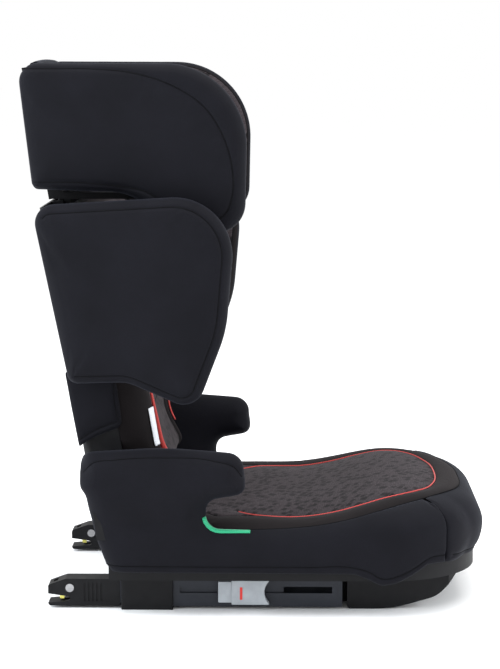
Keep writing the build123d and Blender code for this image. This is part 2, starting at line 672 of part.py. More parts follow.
with BuildPart(BACK) as headrest_shell:
    block((-HEAD_HALF_WIDTH, HEAD_HALF_WIDTH), (HEAD_LOW, HEAD_HIGH), (HEAD_REAR, HEAD_FRONT))
    inner = HEAD_HALF_WIDTH - WALL
    depth = (HEAD_REAR + WALL, HEAD_FRONT + 1)
    block((-inner, inner), (HEAD_LOW + WALL, HEAD_HIGH - WALL), depth, Mode.SUBTRACT)
    # The slider and the pull rods come up through the bottom wall.
    wide = SLIDER_HALF_WIDTH + 0.5
    slot = (SLIDER[0] - 0.4, SLIDER[1] + 0.4)
    block((-wide, wide), (HEAD_LOW - 1, HEAD_LOW + WALL + 1), slot, Mode.SUBTRACT)
    for rod in both(ROD_X - ROD_R - 0.5, ROD_X + ROD_R + 0.5):
        block(rod, (HEAD_LOW - 1, HEAD_LOW + WALL + 1), (ROD_W - 2.5, ROD_W + 2.5), Mode.SUBTRACT)
    # Posts behind the slider plate.
    with Locations(*[(x, v, HEAD_REAR + WALL - 1) for x in (-18, 18) for v in (528, 576)]):
        Cylinder(5, SLIDER[0] - HEAD_REAR - WALL + 1, align=(Align.CENTER, Align.CENTER, Align.MIN))
    block((-WINDOW_HALF_WIDTH, WINDOW_HALF_WIDTH), (585, 645), (0, HEAD_REAR + WALL), Mode.SUBTRACT)
save(headrest_shell.part, "headrest_shell")

with BuildPart(BACK) as slider_plate:
    block((-SLIDER_HALF_WIDTH, SLIDER_HALF_WIDTH), (290, 592), SLIDER)
    fillet(slider_plate.edges().filter_by(FORWARD), 4)
    # Lugs hold the lock bar in slots that let it move forwards.
    for lug in both(40, 46):
        block(lug, (240, 300), (14, 34))
        block(
            lug,
            (LOCK_BAR_V - LOCK_BAR_R - 0.1, LOCK_BAR_V + LOCK_BAR_R + 0.1),
            (LOCK_BAR_W - LOCK_BAR_R - 0.1, LOCK_BAR_W + LOCK_BAR_R + LOCK_TRAVEL + 0.1),
            Mode.SUBTRACT,
        )
save(slider_plate.part, "headrest_slider")

with BuildPart(BACK) as lock_bar:
    with BuildSketch(back_side(-76)):
        with Locations((LOCK_BAR_V, LOCK_BAR_W)):
            Circle(LOCK_BAR_R)
    extrude(amount=152)
    chamfer(lock_bar.edges().filter_by(GeomType.CIRCLE), 0.6)
save(lock_bar.part, "headrest_lock_bar")

with BuildPart(BACK) as height_handle:
    block((-WINDOW_HALF_WIDTH + 2, WINDOW_HALF_WIDTH - 2), (602, 632), (-1, 14))
    fillet(height_handle.edges().filter_by(Axis.X), 3)
    # Finger grip.
    with BuildSketch(back_side(-26)):
        with Locations((602, 5)):
            Circle(5)
    extrude(amount=52, mode=Mode.SUBTRACT)
    # Pull rods end in cams whose slanted slots lift the lock bar.
    for rod_x in (-ROD_X, ROD_X):
        rod_foot = BACK.from_local_coords((rod_x, 260, ROD_W))
        with BuildSketch(Plane(origin=rod_foot, z_dir=UP_THE_BACK.direction)):
            Circle(ROD_R)
        extrude(amount=345)
        with BuildSketch(back_side(rod_x - 3)):
            with Locations((259, 23.5)):
                Rectangle(32, 25)
            with BuildLine(mode=Mode.PRIVATE):
                lifted = (LOCK_BAR_V - HANDLE_TRAVEL, LOCK_BAR_W + LOCK_TRAVEL)
                slant = Line((LOCK_BAR_V, LOCK_BAR_W), lifted)
            SlotArc(slant, 2 * LOCK_BAR_R + 0.2, mode=Mode.SUBTRACT)
        extrude(amount=6)
save(height_handle.part, "height_handle")

with BuildPart(BACK) as headrest_pad:
    wide = HEAD_HALF_WIDTH - 2
    block((-wide, wide), (HEAD_LOW + 3, HEAD_HIGH - 8), (HEAD_FRONT + SOFT_GAP, HEAD_PAD_FRONT))
    fillet(headrest_pad.faces().sort_by(FORWARD)[-1].edges(), 14)
save(headrest_pad.part, "headrest_pad")

head_place = (HEAD_WING_REAR_X, HEAD_WING_REAR_Y)
head_flange = [(HEAD_HALF_WIDTH, 124), (524, 632), (10, 16)]
save_pair(wing_core(*head_place, HEAD_CORE, head_flange), "headrest_wing_core")
head_pocket = wing_core(*head_place, HEAD_CORE, head_flange, SOFT_GAP)
save_pair(padded_wing(*head_place, HEAD_WING, HEAD_WING_THICKNESS, head_pocket, 12), "headrest_wing")

# ------------------------------------------------------------------ shoulder belt guides, under the headrest

GUIDE_Y = (128, 140)
BELT_SLOT_Z = (444, 458)
GATE_X, GATE_Z, GATE_PIN_R = 144.5, 466, 1.5
GATE_Y = (132, 136)

with BuildPart() as belt_guide:
    with BuildSketch(Plane.XZ.offset(-GUIDE_Y[1])):
        outline([(90, 433, 8), (150, 433, 5), (150, 477, 9), (112, 477, 6), (104, 495, 6), (90, 495, 0)])
    extrude(amount=GUIDE_Y[1] - GUIDE_Y[0])
    block((104, 151), (GUIDE_Y[0] - 1, GUIDE_Y[1] + 1), BELT_SLOT_Z, Mode.SUBTRACT)
    # The arm runs back under the headrest pad to a root below the shell.
    block((90, 104), (GUIDE_Y[1] - 1, 246), (487.2, 495))
    with Locations(BACK):
        block((90, 104), (492, HEAD_LOW), (8, 26))
    # The gate swings inwards in this recess.
    block((129, 149), (GATE_Y[0] - 0.4, GATE_Y[1] + 0.4), (BELT_SLOT_Z[1] - 1, 470), Mode.SUBTRACT)
    with BuildSketch(Plane.XZ.offset(-GUIDE_Y[1] + 1)):
        with Locations((GATE_X, GATE_Z)):
            Circle(GATE_PIN_R)
    extrude(amount=GUIDE_Y[1] - GUIDE_Y[0] - 2)
save_pair(belt_guide.part, "belt_guide")

with BuildPart() as belt_gate:
    with BuildSketch(Plane.XZ.offset(-GATE_Y[1])):
        outline([
            (GATE_X - 2.4, BELT_SLOT_Z[0] + 0.6, 1.2),
            (GATE_X + 2.4, BELT_SLOT_Z[0] + 0.6, 1.2),
            (GATE_X + 2.4, GATE_Z, 0),
            (GATE_X - 2.4, GATE_Z, 0),
        ])
        with Locations((GATE_X, GATE_Z)):
            Circle(3.2)
            Circle(GATE_PIN_R + 0.06, mode=Mode.SUBTRACT)
    extrude(amount=GATE_Y[1] - GATE_Y[0])
save_pair(belt_gate.part, "belt_gate")

# Two springs press the handle back down.
handle_coil = coil(HEAD_HIGH - WALL - 632.4, 6)

with BuildPart() as handle_springs:
    for x in (-20, 20):
        foot_point = BACK.from_local_coords((x, 632.6, 10.5))
        with Locations(Plane(origin=foot_point, x_dir=(1, 0, 0), z_dir=UP_THE_BACK.direction)):
            add(handle_coil)
save(handle_springs.part, "handle_springs")
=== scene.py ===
"""Looks of the high-back booster seat, built around its CAD frame.
The scene is in metres, and the cutting patterns are in millimetres."""

import json

from math import cos, radians, sin

import bmesh
import bpy
import numpy as np
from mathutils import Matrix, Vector
from mathutils.geometry import delaunay_2d_cdt


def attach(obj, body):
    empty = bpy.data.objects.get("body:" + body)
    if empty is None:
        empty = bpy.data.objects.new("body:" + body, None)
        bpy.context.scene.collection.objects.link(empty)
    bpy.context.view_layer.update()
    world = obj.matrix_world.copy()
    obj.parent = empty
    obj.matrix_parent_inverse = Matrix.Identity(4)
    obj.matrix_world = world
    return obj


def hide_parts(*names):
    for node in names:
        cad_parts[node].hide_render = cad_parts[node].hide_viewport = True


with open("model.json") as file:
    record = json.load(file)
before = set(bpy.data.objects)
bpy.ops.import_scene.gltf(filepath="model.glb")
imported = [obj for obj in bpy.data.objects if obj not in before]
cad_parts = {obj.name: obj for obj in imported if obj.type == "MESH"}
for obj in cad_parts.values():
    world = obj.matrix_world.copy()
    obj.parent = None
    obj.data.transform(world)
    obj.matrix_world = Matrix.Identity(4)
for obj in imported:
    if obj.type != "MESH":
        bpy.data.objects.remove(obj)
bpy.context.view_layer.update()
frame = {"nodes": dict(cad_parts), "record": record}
scene = bpy.context.scene

MM = 0.001
WEAVE = 0.0011  # repeat of the cover's knit
SEAM_WIDTH = 2.4  # millimetres, of the groove that a seam pulls into the padding
SEAM_DEPTH, DEEP_SEAM, SHALLOW_SEAM = 1.5, 1.8, 1.2  # millimetres
CORD_RADIUS = 0.55  # millimetres, of the dark cords that paint the shade in the seams' grooves
STEP = 5.0  # millimetres between mesh points
ROW_STEP = STEP * 0.87  # between rows of them, for near equilateral triangles
RIM_RINGS = (0.02, 0.09, 0.2, 0.36, 0.58, 0.85)  # rings of points across an edge's rounding
SEAM_LINES = (0, -0.55, 0.55, -1.5, 1.5)  # lines of points along a seam, in seam widths
FAR = 1e3  # millimetres, for points that no edge or seam is near
CLOTH_FRAMES = 20
PRESSURE, STIFFNESS = 2.5, 12.0  # of the cloth that blows up the covers
FULL, THIN = 0.7, 0.5  # share of a padded piece that is filling
BACK_LEAN = radians(9.6)
WING_FLARE = radians(6)

# ---------------------------------------------------------------- materials


def material(name, roughness, sheen=0.0, sheen_tint=(1, 1, 1), metallic=0.0, specular=0.5):
    """A material with a Principled shader, and a helper that adds nodes to it."""
    made = bpy.data.materials.new(name)
    made.use_nodes = True
    nodes, links = made.node_tree.nodes, made.node_tree.links
    shader = nodes["Principled BSDF"]
    for key, value in (
        ("Roughness", roughness),
        ("Metallic", metallic),
        ("Sheen Weight", sheen),
        ("Sheen Roughness", 0.35),
        ("Sheen Tint", (*sheen_tint, 1)),
        ("Specular IOR Level", specular),
    ):
        shader.inputs[key].default_value = value

    def add(kind, inputs=None, **settings):
        node = nodes.new(kind)
        for key, value in settings.items():
            setattr(node, key, value)
        for key, value in (inputs or {}).items():
            if isinstance(value, bpy.types.NodeSocket):
                links.new(value, node.inputs[key])
            else:
                node.inputs[key].default_value = value
        return node

    return made, shader, add, links


def scaled(add, source, scale):
    """Texture coordinates stretched by three factors."""
    return add("ShaderNodeMapping", {"Vector": source, "Scale": scale}).outputs[0]


def mixed(add, factor, a, b):
    """A colour between two others."""
    node = add("ShaderNodeMix", data_type="RGBA")
    for socket, value in ((node.inputs[0], factor), (node.inputs[6], a), (node.inputs[7], b)):
        if isinstance(value, bpy.types.NodeSocket):
            node.id_data.links.new(value, socket)
        else:
            socket.default_value = value if isinstance(value, (int, float)) else (*value, 1)
    return node.outputs[2]


def ramp(add, factor, low, high):
    """Values below low become 0, and those above high become 1."""
    node = add("ShaderNodeMapRange", {"Value": factor, "From Min": low, "From Max": high})
    node.clamp = True
    return node.outputs[0]


def bumped(add, links, shader, height, strength, distance):
    """Gives a shader relief from a height, up to a distance in metres."""
    node = add("ShaderNodeBump", {"Height": height, "Strength": strength, "Distance": distance})
    links.new(node.outputs[0], shader.inputs["Normal"])


def knit(name, dark, light, sheen, tint):
    """A smooth knitted cover: fine loops, faint mottling and a soft sheen."""
    made, shader, add, links = material(name, 0.8, sheen, tint, specular=0.12)
    place = add("ShaderNodeTexCoord").outputs["Object"]
    mottle = add("ShaderNodeTexNoise", {"Vector": place, "Scale": 22.0, "Detail": 4.0}).outputs[0]
    fine = add("ShaderNodeTexNoise", {"Vector": place, "Scale": 900.0, "Detail": 1.0}).outputs[0]
    stitch = {"Vector": place, "Scale": 1 / WEAVE, "Randomness": 0.35}
    loops = add("ShaderNodeTexVoronoi", stitch).outputs[0]
    shares = {0: ramp(add, mottle, 0.3, 0.7), 1: ramp(add, fine, 0.2, 0.8)}
    blend = add("ShaderNodeMath", shares, operation="MULTIPLY")
    links.new(mixed(add, blend.outputs[0], dark, light), shader.inputs["Base Color"])
    bumped(add, links, shader, loops, 0.25, WEAVE * 0.25)
    return made


DASH_SLANT = radians(28)


def dashed_insert(name):
    """The seat's insert: a melange knit with broken rows of short dark dashes. It is laid out by
    the attribute "cut", the piece's flat cutting pattern in metres."""
    made, shader, add, links = material(name, 0.85, 0.06, (0.8, 0.75, 0.8), specular=0.15)
    cut = add("ShaderNodeAttribute", attribute_name="cut").outputs["Vector"]
    noise = add("ShaderNodeTexNoise", {"Vector": cut, "Scale": 160.0, "Detail": 2.0})
    wobble, grey = noise.outputs["Color"], (0.5, 0.5, 0.5)
    centred = add("ShaderNodeVectorMath", {0: wobble, 1: grey}, operation="SUBTRACT").outputs[0]
    drift = add("ShaderNodeVectorMath", {0: centred, "Scale": 0.0045}, operation="SCALE").outputs[0]
    moved = add("ShaderNodeVectorMath", {0: cut, 1: drift}, operation="ADD").outputs[0]
    slanted = add("ShaderNodeMapping", {"Vector": moved, "Rotation": (0, 0, DASH_SLANT)}).outputs[0]
    cells = add(
        "ShaderNodeTexVoronoi",
        {"Vector": scaled(add, slanted, (76.0, 128.0, 1.0)), "Scale": 1.0, "Randomness": 0.8},
        distance="CHEBYCHEV",
        voronoi_dimensions="2D",
    )
    patch = ramp(add, cells.outputs["Distance"], 0.46, 0.26)
    split = add("ShaderNodeSeparateColor", {0: cells.outputs["Color"]})
    chosen = ramp(add, split.outputs[0], 0.30, 0.55)
    dash = add("ShaderNodeMath", {0: patch, 1: chosen}, operation="MULTIPLY").outputs[0]
    long_grain = {"Vector": scaled(add, cut, (150.0, 700.0, 1.0)), "Scale": 1.0, "Detail": 4.0}
    streak = add("ShaderNodeTexNoise", long_grain).outputs[0]
    ground = mixed(add, ramp(add, streak, 0.3, 0.7), (0.012, 0.0095, 0.0110), (0.040, 0.032, 0.036))
    links.new(mixed(add, dash, ground, (0.0045, 0.0034, 0.0042)), shader.inputs["Base Color"])
    relief = add("ShaderNodeMath", {0: streak, 1: dash}, operation="SUBTRACT").outputs[0]
    bumped(add, links, shader, relief, 0.35, 0.0004)
    return made


def moulded(name, colour, roughness, grain=1400.0, strength=0.12, specular=0.3):
    """Injection-moulded plastic, or foam, with a fine texture and slight wear in its gloss."""
    made, shader, add, links = material(name, roughness, specular=specular)
    place = add("ShaderNodeTexCoord").outputs["Object"]
    worn = add("ShaderNodeTexNoise", {"Vector": place, "Scale": 60.0, "Detail": 5.0}).outputs[0]
    grains = add("ShaderNodeTexNoise", {"Vector": place, "Scale": grain, "Detail": 2.0}).outputs[0]
    lighter = tuple(min(1.0, c * 1.25 + 0.002) for c in colour)
    links.new(mixed(add, ramp(add, worn, 0.35, 0.75), colour, lighter), shader.inputs["Base Color"])
    gloss = {"Value": worn, "To Min": roughness - 0.08, "To Max": roughness + 0.1}
    links.new(add("ShaderNodeMapRange", gloss).outputs[0], shader.inputs["Roughness"])
    bumped(add, links, shader, grains, strength, 0.0003)
    return made


def metal(name, colour, roughness):
    """Plated steel with faint draw marks."""
    made, shader, add, links = material(name, roughness, metallic=1.0)
    place = add("ShaderNodeTexCoord").outputs["Object"]
    drawn_along = scaled(add, place, (900.0, 60.0, 900.0))
    marks = add("ShaderNodeTexNoise", {"Vector": drawn_along, "Scale": 1.0}).outputs[0]
    shade = tuple(c * 0.75 for c in colour)
    links.new(mixed(add, ramp(add, marks, 0.3, 0.7), shade, colour), shader.inputs["Base Color"])
    bumped(add, links, shader, marks, 0.1, 0.0002)
    return made


def binding(name, dark, light):
    """Narrow woven tape or piping with slanting ribs."""
    made, shader, add, links = material(name, 0.7, 0.2)
    place = add("ShaderNodeTexCoord").outputs["Object"]
    slant = {"Vector": place, "Scale": 240.0, "Distortion": 1.0}
    ribs = add("ShaderNodeTexWave", slant, bands_direction="DIAGONAL")
    links.new(mixed(add, ribs.outputs[1], dark, light), shader.inputs["Base Color"])
    bumped(add, links, shader, ribs.outputs[1], 0.4, 0.0003)
    return made


COVER = knit(
    "navy_scuba", (0.0022, 0.0022, 0.0040), (0.0048, 0.0048, 0.0078), 0.050, (0.55, 0.60, 0.80)
)
BORDER = knit(
    "black_border", (0.0042, 0.0030, 0.0034), (0.0080, 0.0060, 0.0066), 0.042, (0.85, 0.75, 0.80)
)
INSERT = dashed_insert("dashed_insert")
# painted shade: a near-black matte material for the cords along the seams, standing in for the
# shade in their grooves
SEAM_SHADE = moulded("seam_shadow", (0.0025, 0.0025, 0.003), 0.9, specular=0.08)
PIPING = binding("red_piping", (0.34, 0.022, 0.020), (0.58, 0.048, 0.040))
GREEN = binding("green_binding", (0.003, 0.20, 0.09), (0.008, 0.36, 0.17))
LABEL = binding("white_label", (0.62, 0.64, 0.68), (0.78, 0.80, 0.84))
BLACK = moulded("black_plastic", (0.0040, 0.0040, 0.0048), 0.5, specular=0.14)
SLATE = moulded("slate_rail", (0.016, 0.018, 0.024), 0.45, specular=0.2)
GREY = moulded("grey_plastic", (0.27, 0.29, 0.31), 0.38, strength=0.06)
RED = moulded("red_plastic", (0.50, 0.020, 0.016), 0.4)
FOAM = moulded("foam", (0.62, 0.62, 0.60), 0.9, grain=500.0, strength=0.6)
STEEL = metal("bright_steel", (0.34, 0.34, 0.35), 0.36)
ZINC = metal("yellow_zinc", (0.62, 0.58, 0.16), 0.30)

FINISH = {
    "black_plastic": BLACK,
    "painted_steel": SLATE,
    "grey_plastic": GREY,
    "red_plastic": RED,
    "foam": FOAM,
    "bright_steel": STEEL,
    "yellow_zinc": ZINC,
    "cover_fabric": COVER,
    "insert_fabric": INSERT,
    "green_trim": GREEN,
    "red_piping": PIPING,
    "white_label": LABEL,
}
for part in frame["record"]["subparts"]:
    for place in frame["nodes"][part["node"]].material_slots:
        place.material = FINISH[part["material_slot"]]

# ---------------------------------------------------------------- flat cutting patterns


def rounded(corners, closed=True):
    """A line through (across, up, radius) corners, each rounded to its radius, as even points."""
    points = []
    count = len(corners)
    for i, (a, b, radius) in enumerate(corners):
        here = np.array((a, b), float)
        if radius == 0 or (not closed and i in (0, count - 1)):
            points.append(here[None])
            continue
        back = np.array(corners[i - 1][:2]) - here
        on = np.array(corners[(i + 1) % count][:2]) - here
        back_long, on_long = np.linalg.norm(back), np.linalg.norm(on)
        back, on = back / back_long, on / on_long
        half = np.arccos(np.clip(back @ on, -1, 1)) / 2
        reach = min(radius / np.tan(half), 0.49 * back_long, 0.49 * on_long)
        turn = np.pi / 2 - half
        middle = here + (back + on) / np.linalg.norm(back + on) * reach / np.cos(half)
        round_r = reach * np.tan(half)
        start, end = here + back * reach - middle, here + on * reach - middle
        share = np.linspace(0, 1, max(3, int(turn * round_r) + 2))[:, None]
        swept = np.sin((1 - share) * 2 * turn) * start + np.sin(share * 2 * turn) * end
        points.append(middle + swept / np.sin(2 * turn))
    return spaced(np.concatenate(points), closed)


def spaced(line, closed, step=STEP):
    """The line again, with even points."""
    if closed:
        line = np.concatenate([line, line[:1]])
    along = np.concatenate([[0], np.cumsum(np.linalg.norm(np.diff(line, axis=0), axis=1))])
    at = np.linspace(0, along[-1], max(3, round(along[-1] / step) + 1))
    even = np.stack([np.interp(at, along, line[:, k]) for k in range(line.shape[1])], axis=1)
    return even[:-1] if closed else even


def through(places, values):
    """A smooth curve through values given at rising places."""
    places, values = np.array(places, float), np.array(values, float)
    slopes = np.gradient(values, places)

    def curve(at):
        at = np.clip(at, places[0], places[-1])
        i = np.clip(np.searchsorted(places, at) - 1, 0, len(places) - 2)
        width = places[i + 1] - places[i]
        t = (at - places[i]) / width
        rise = slopes[i] * width * (t - 2 * t**2 + t**3) + slopes[i + 1] * width * (t**3 - t**2)
        return values[i] + (values[i + 1] - values[i]) * t * t * (3 - 2 * t) + rise

    return curve


def drawn(points):
    """A smooth open line through points."""
    points = np.array(points, float)
    along = np.concatenate([[0], np.cumsum(np.linalg.norm(np.diff(points, axis=0), axis=1))])
    at = np.linspace(0, along[-1], max(3, round(along[-1] / 2)))
    smooth = np.stack([through(along, points[:, k])(at) for k in range(points.shape[1])], axis=1)
    return spaced(smooth, False)


def gap(points, line, closed):
    """How far each point is from a line."""
    ends = np.roll(line, -1, axis=0) if closed else line[1:]
    starts = line if closed else line[:-1]
    best = np.full(len(points), np.inf)
    x, y = np.ascontiguousarray(points.T)
    for (ax, ay), (dx, dy) in zip(starts, ends - starts):
        px, py = x - ax, y - ay
        t = np.clip((px * dx + py * dy) / max(dx * dx + dy * dy, 1e-9), 0, 1)
        np.minimum(best, (px - t * dx) ** 2 + (py - t * dy) ** 2, out=best)
    return np.sqrt(best)


def within(points, outline):
    """Which points lie inside an outline."""
    x, y = points[:, 0], points[:, 1]
    result = np.zeros(len(points), bool)
    for (ax, ay), (bx, by) in zip(outline, np.roll(outline, -1, axis=0)):
        crosses = (ay > y) != (by > y)
        result ^= crosses & (x < (bx - ax) * (y - ay) / (by - ay + 1e-12) + ax)
    return result


def beside(line, distance, closed):
    """The line moved sideways, to its left."""
    if closed:
        along = np.roll(line, -1, axis=0) - np.roll(line, 1, axis=0)
    else:
        along = np.gradient(line, axis=0)
    along /= np.linalg.norm(along, axis=1)[:, None] + 1e-12
    return line + np.stack([-along[:, 1], along[:, 0]], axis=1) * distance


def inset(outline, distance):
    """The outline drawn in by a distance."""
    x, y = outline.T
    area = np.sum(x * np.roll(y, -1) - np.roll(x, -1) * y)
    moved = beside(outline, distance if area > 0 else -distance, True)
    keep = within(moved, outline) & (gap(moved, outline, True) > 0.96 * distance)
    return moved[keep]


def stretch(line, keep):
    """The first run of a closed line's points for which keep is true, as an open line."""
    marks = keep(line)
    start = next(i for i in range(len(line)) if marks[i] and not marks[i - 1])
    rolled, marks = np.roll(line, -start, axis=0), np.roll(marks, -start)
    return rolled[: int(np.argmin(marks)) if not marks.all() else len(line)]


# ---------------------------------------------------------------- sewn and padded pieces


class Seam:
    """A sewn line on a cutting pattern."""

    def __init__(self, line, closed=False, side=1, depth=SEAM_DEPTH):
        self.line, self.closed, self.side, self.depth = line, closed, side, depth


def straight_seam(across, up, depth=SEAM_DEPTH):
    """A seam along or across a pattern: one of its two places is a number, the other many."""
    return Seam(np.column_stack(np.broadcast_arrays(across, up)).astype(float), depth=depth)


def groove(points, seams, side):
    """How deep the seams on one side pull each point in, and how far off the nearest seam is."""
    deep, near = np.zeros(len(points)), np.full(len(points), np.inf)
    for seam in seams:
        if seam.side == side:
            away = gap(points, seam.line, seam.closed)
            deep = np.maximum(deep, seam.depth * np.exp(-((away / SEAM_WIDTH) ** 2)))
            near = np.minimum(near, away)
    return deep, near


def mesh_points(outline, seams, edge):
    """Points for a pattern's mesh: the outline, rings across the edge's rounding, lines along the
    seams, and a triangular grid in the room between."""
    rings = [inset(outline, edge * share) for share in RIM_RINGS]
    low, high = outline.min(0), outline.max(0)
    rows = []
    for i, up in enumerate(np.arange(low[1], high[1], ROW_STEP)):
        across = np.arange(low[0] + (i % 2) * STEP / 2, high[0], STEP)
        rows.append(np.column_stack([across, np.full(len(across), up)]))
    grid = np.concatenate(rows)
    grid = grid[within(grid, outline)]
    grid = grid[gap(grid, outline, True) > edge * RIM_RINGS[-1] + STEP * 0.6]
    sewn = []
    for seam in seams:
        for share in SEAM_LINES:
            line = beside(seam.line, SEAM_WIDTH * share, seam.closed)
            sewn.append(line[within(line, outline) & (gap(line, outline, True) > 0.5)])
    reach = SEAM_WIDTH * max(SEAM_LINES)
    for seam in seams:
        grid = grid[gap(grid, seam.line, seam.closed) > reach + STEP * 0.4]
        rings = [ring[gap(ring, seam.line, seam.closed) > reach + 0.8] for ring in rings]
    return np.concatenate([outline, *rings, *sewn, grid])


def store(mesh, name, values):
    """Keeps a number or a vector for each vertex."""
    kind, field = ("FLOAT_VECTOR", "vector") if values.ndim == 2 else ("FLOAT", "value")
    kept = mesh.attributes.new(name, kind, "POINT")
    kept.data.foreach_set(field, values.astype(np.float32).ravel())


def placed(name, data):
    """A new object in the scene."""
    made = bpy.data.objects.new(name, data)
    scene.collection.objects.link(made)
    return made


def quilt(name, outline, place, seams, edge):
    """A closed padded piece cut to an outline, with finer mesh over the edge's rounding.
    place(points, depth, side, deep, near) gives its surface in metres: depth is the distance in
    from the outline, side is 1 for the outer face and -1 for the inner one, deep is how far a seam
    pulls it in, and near is the distance to the nearest seam or edge."""
    edges = [(i, (i + 1) % len(outline)) for i in range(len(outline))]
    points = [Vector(p) for p in mesh_points(outline, seams, edge)]
    flat, _, faces, *_ = delaunay_2d_cdt(points, edges, [list(range(len(outline)))], 1, 1e-4, True)
    flat = np.array([tuple(p) for p in flat])
    middles = flat[np.array(faces)].mean(1)
    faces = [f for f, inside in zip(faces, within(middles, outline)) if inside]
    depth = gap(flat, outline, True)
    rim = depth < 1e-3
    free = ~rim
    deep_out, near_out = groove(flat, seams, 1)
    deep_in, near_in = groove(flat, seams, -1)
    outer = place(flat, depth, 1, deep_out, np.minimum(near_out, depth))
    inner = place(flat, depth, -1, deep_in, np.minimum(near_in, depth))
    outer[rim] = inner[rim] = (outer[rim] + inner[rim]) / 2
    index_in = np.arange(len(flat))
    index_in[free] = len(flat) + np.arange(free.sum())
    vertices = np.concatenate([outer, inner[free]])
    polygons = [tuple(f) for f in faces]
    polygons += [tuple(int(index_in[i]) for i in reversed(f)) for f in faces]
    mesh = bpy.data.meshes.new(name)
    mesh.from_pydata(vertices.tolist(), [], polygons)
    cut = np.concatenate([flat, flat[free]]) * MM
    store(mesh, "cut", np.column_stack([cut, np.zeros(len(cut))]))
    near = np.concatenate([near_out, near_in[free]])
    depths = np.concatenate([depth, depth[free]])
    store(mesh, "held", (near < SEAM_WIDTH * 0.7) | (depths < 0.4))
    store(mesh, "side", np.concatenate([np.ones(len(flat)), -np.ones(free.sum())]))
    tidy_normals(mesh)
    return placed(name, mesh)


def tidy_normals(mesh):
    """Turns a closed mesh's faces outwards and shades them smooth."""
    shape = bmesh.new()
    shape.from_mesh(mesh)
    bmesh.ops.recalc_face_normals(shape, faces=shape.faces)
    shape.to_mesh(mesh)
    shape.free()
    mesh.polygons.foreach_set("use_smooth", [True] * len(mesh.polygons))
    mesh.update()


def numbers(mesh, name):
    """A number kept for each vertex."""
    values = np.zeros(len(mesh.vertices), np.float32)
    mesh.attributes[name].data.foreach_get("value", values)
    return values


def positions(mesh):
    """Where each vertex is."""
    values = np.zeros(len(mesh.vertices) * 3, np.float32)
    mesh.vertices.foreach_get("co", values)
    return values.reshape(-1, 3).astype(float)


def inflate(piece, cap):
    """Blows a sewn cover up with cloth simulation, by cap millimetres at most. Its seams and rim
    stay where they were sewn."""
    mesh = piece.data
    rest = positions(mesh)
    group = piece.vertex_groups.new(name="held")
    for i in np.flatnonzero(numbers(mesh, "held") > 0.5):
        group.add([int(i)], 1.0, "REPLACE")
    cloth = piece.modifiers.new("cloth", "CLOTH")
    settings = cloth.settings
    settings.quality = 4
    settings.mass = 0.3
    settings.tension_stiffness = settings.compression_stiffness = STIFFNESS
    settings.shear_stiffness = STIFFNESS / 2
    settings.bending_stiffness = 2.0
    settings.use_pressure = True
    settings.uniform_pressure_force = PRESSURE
    settings.vertex_group_mass = "held"
    settings.effector_weights.gravity = 0
    cloth.point_cache.frame_end = CLOTH_FRAMES
    for number in range(1, CLOTH_FRAMES + 1):
        scene.frame_set(number)
    swollen = piece.evaluated_get(bpy.context.evaluated_depsgraph_get()).data
    moved = positions(swollen) - rest
    piece.modifiers.remove(cloth)
    piece.vertex_groups.remove(group)
    scene.frame_set(1)
    length = np.linalg.norm(moved, axis=1)[:, None]
    limit = cap * MM
    moved *= limit * np.tanh(length / limit) / np.maximum(length, 1e-9)
    mesh.vertices.foreach_set("co", (rest + moved).astype(np.float32).ravel())
    mesh.update()


def finer(piece):
    """One step of subdivision, applied."""
    subdivide = piece.modifiers.new("finer", "SUBSURF")
    subdivide.levels = subdivide.render_levels = 1
    subdivide.use_limit_surface = False
    evaluated = piece.evaluated_get(bpy.context.evaluated_depsgraph_get())
    smooth = bpy.data.meshes.new_from_object(evaluated)
    piece.modifiers.clear()
    smooth.name = piece.name
    piece.data = smooth


def paint(piece, outside, regions):
    """Gives a piece its main material, and others to the faces that pass a test on (cut, side)."""
    mesh = piece.data
    mesh.materials.clear()
    mesh.materials.append(outside)
    if not regions:
        return
    cut = np.zeros(len(mesh.vertices) * 3, np.float32)
    mesh.attributes["cut"].data.foreach_get("vector", cut)
    cut = cut.reshape(-1, 3)[:, :2].astype(float) / MM
    side = numbers(mesh, "side")
    middles = np.array([cut[list(f.vertices)].mean(0) for f in mesh.polygons])
    sides = np.array([side[list(f.vertices)].mean() for f in mesh.polygons])
    chosen = np.zeros(len(mesh.polygons), np.int32)
    for number, (test, finish) in enumerate(regions, 1):
        mesh.materials.append(finish)
        chosen[test(middles, sides)] = number
    mesh.polygons.foreach_set("material_index", chosen)


def padded(name, outline, place, seams, edge, cap, outside, regions=()):
    """A quilted piece, blown up by cap millimetres at most, painted and subdivided."""
    piece = quilt(name, outline, place, seams, edge)
    if cap:
        inflate(piece, cap)
    paint(piece, outside, regions)
    finer(piece)
    return piece


def tubes(name, lines, radius, finish):
    """Round cords along lines of 3-D points, as one curve object."""
    curve = bpy.data.curves.new(name, "CURVE")
    curve.dimensions = "3D"
    curve.bevel_depth = radius * MM
    curve.bevel_resolution = 2
    for line in lines:
        spline = curve.splines.new("POLY")
        spline.points.add(len(line) - 1)
        spline.points.foreach_set("co", np.column_stack([line, np.ones(len(line))]).ravel())
        spline.use_smooth = True
    curve.use_fill_caps = True
    curve.materials.append(finish)
    return placed(name, curve)


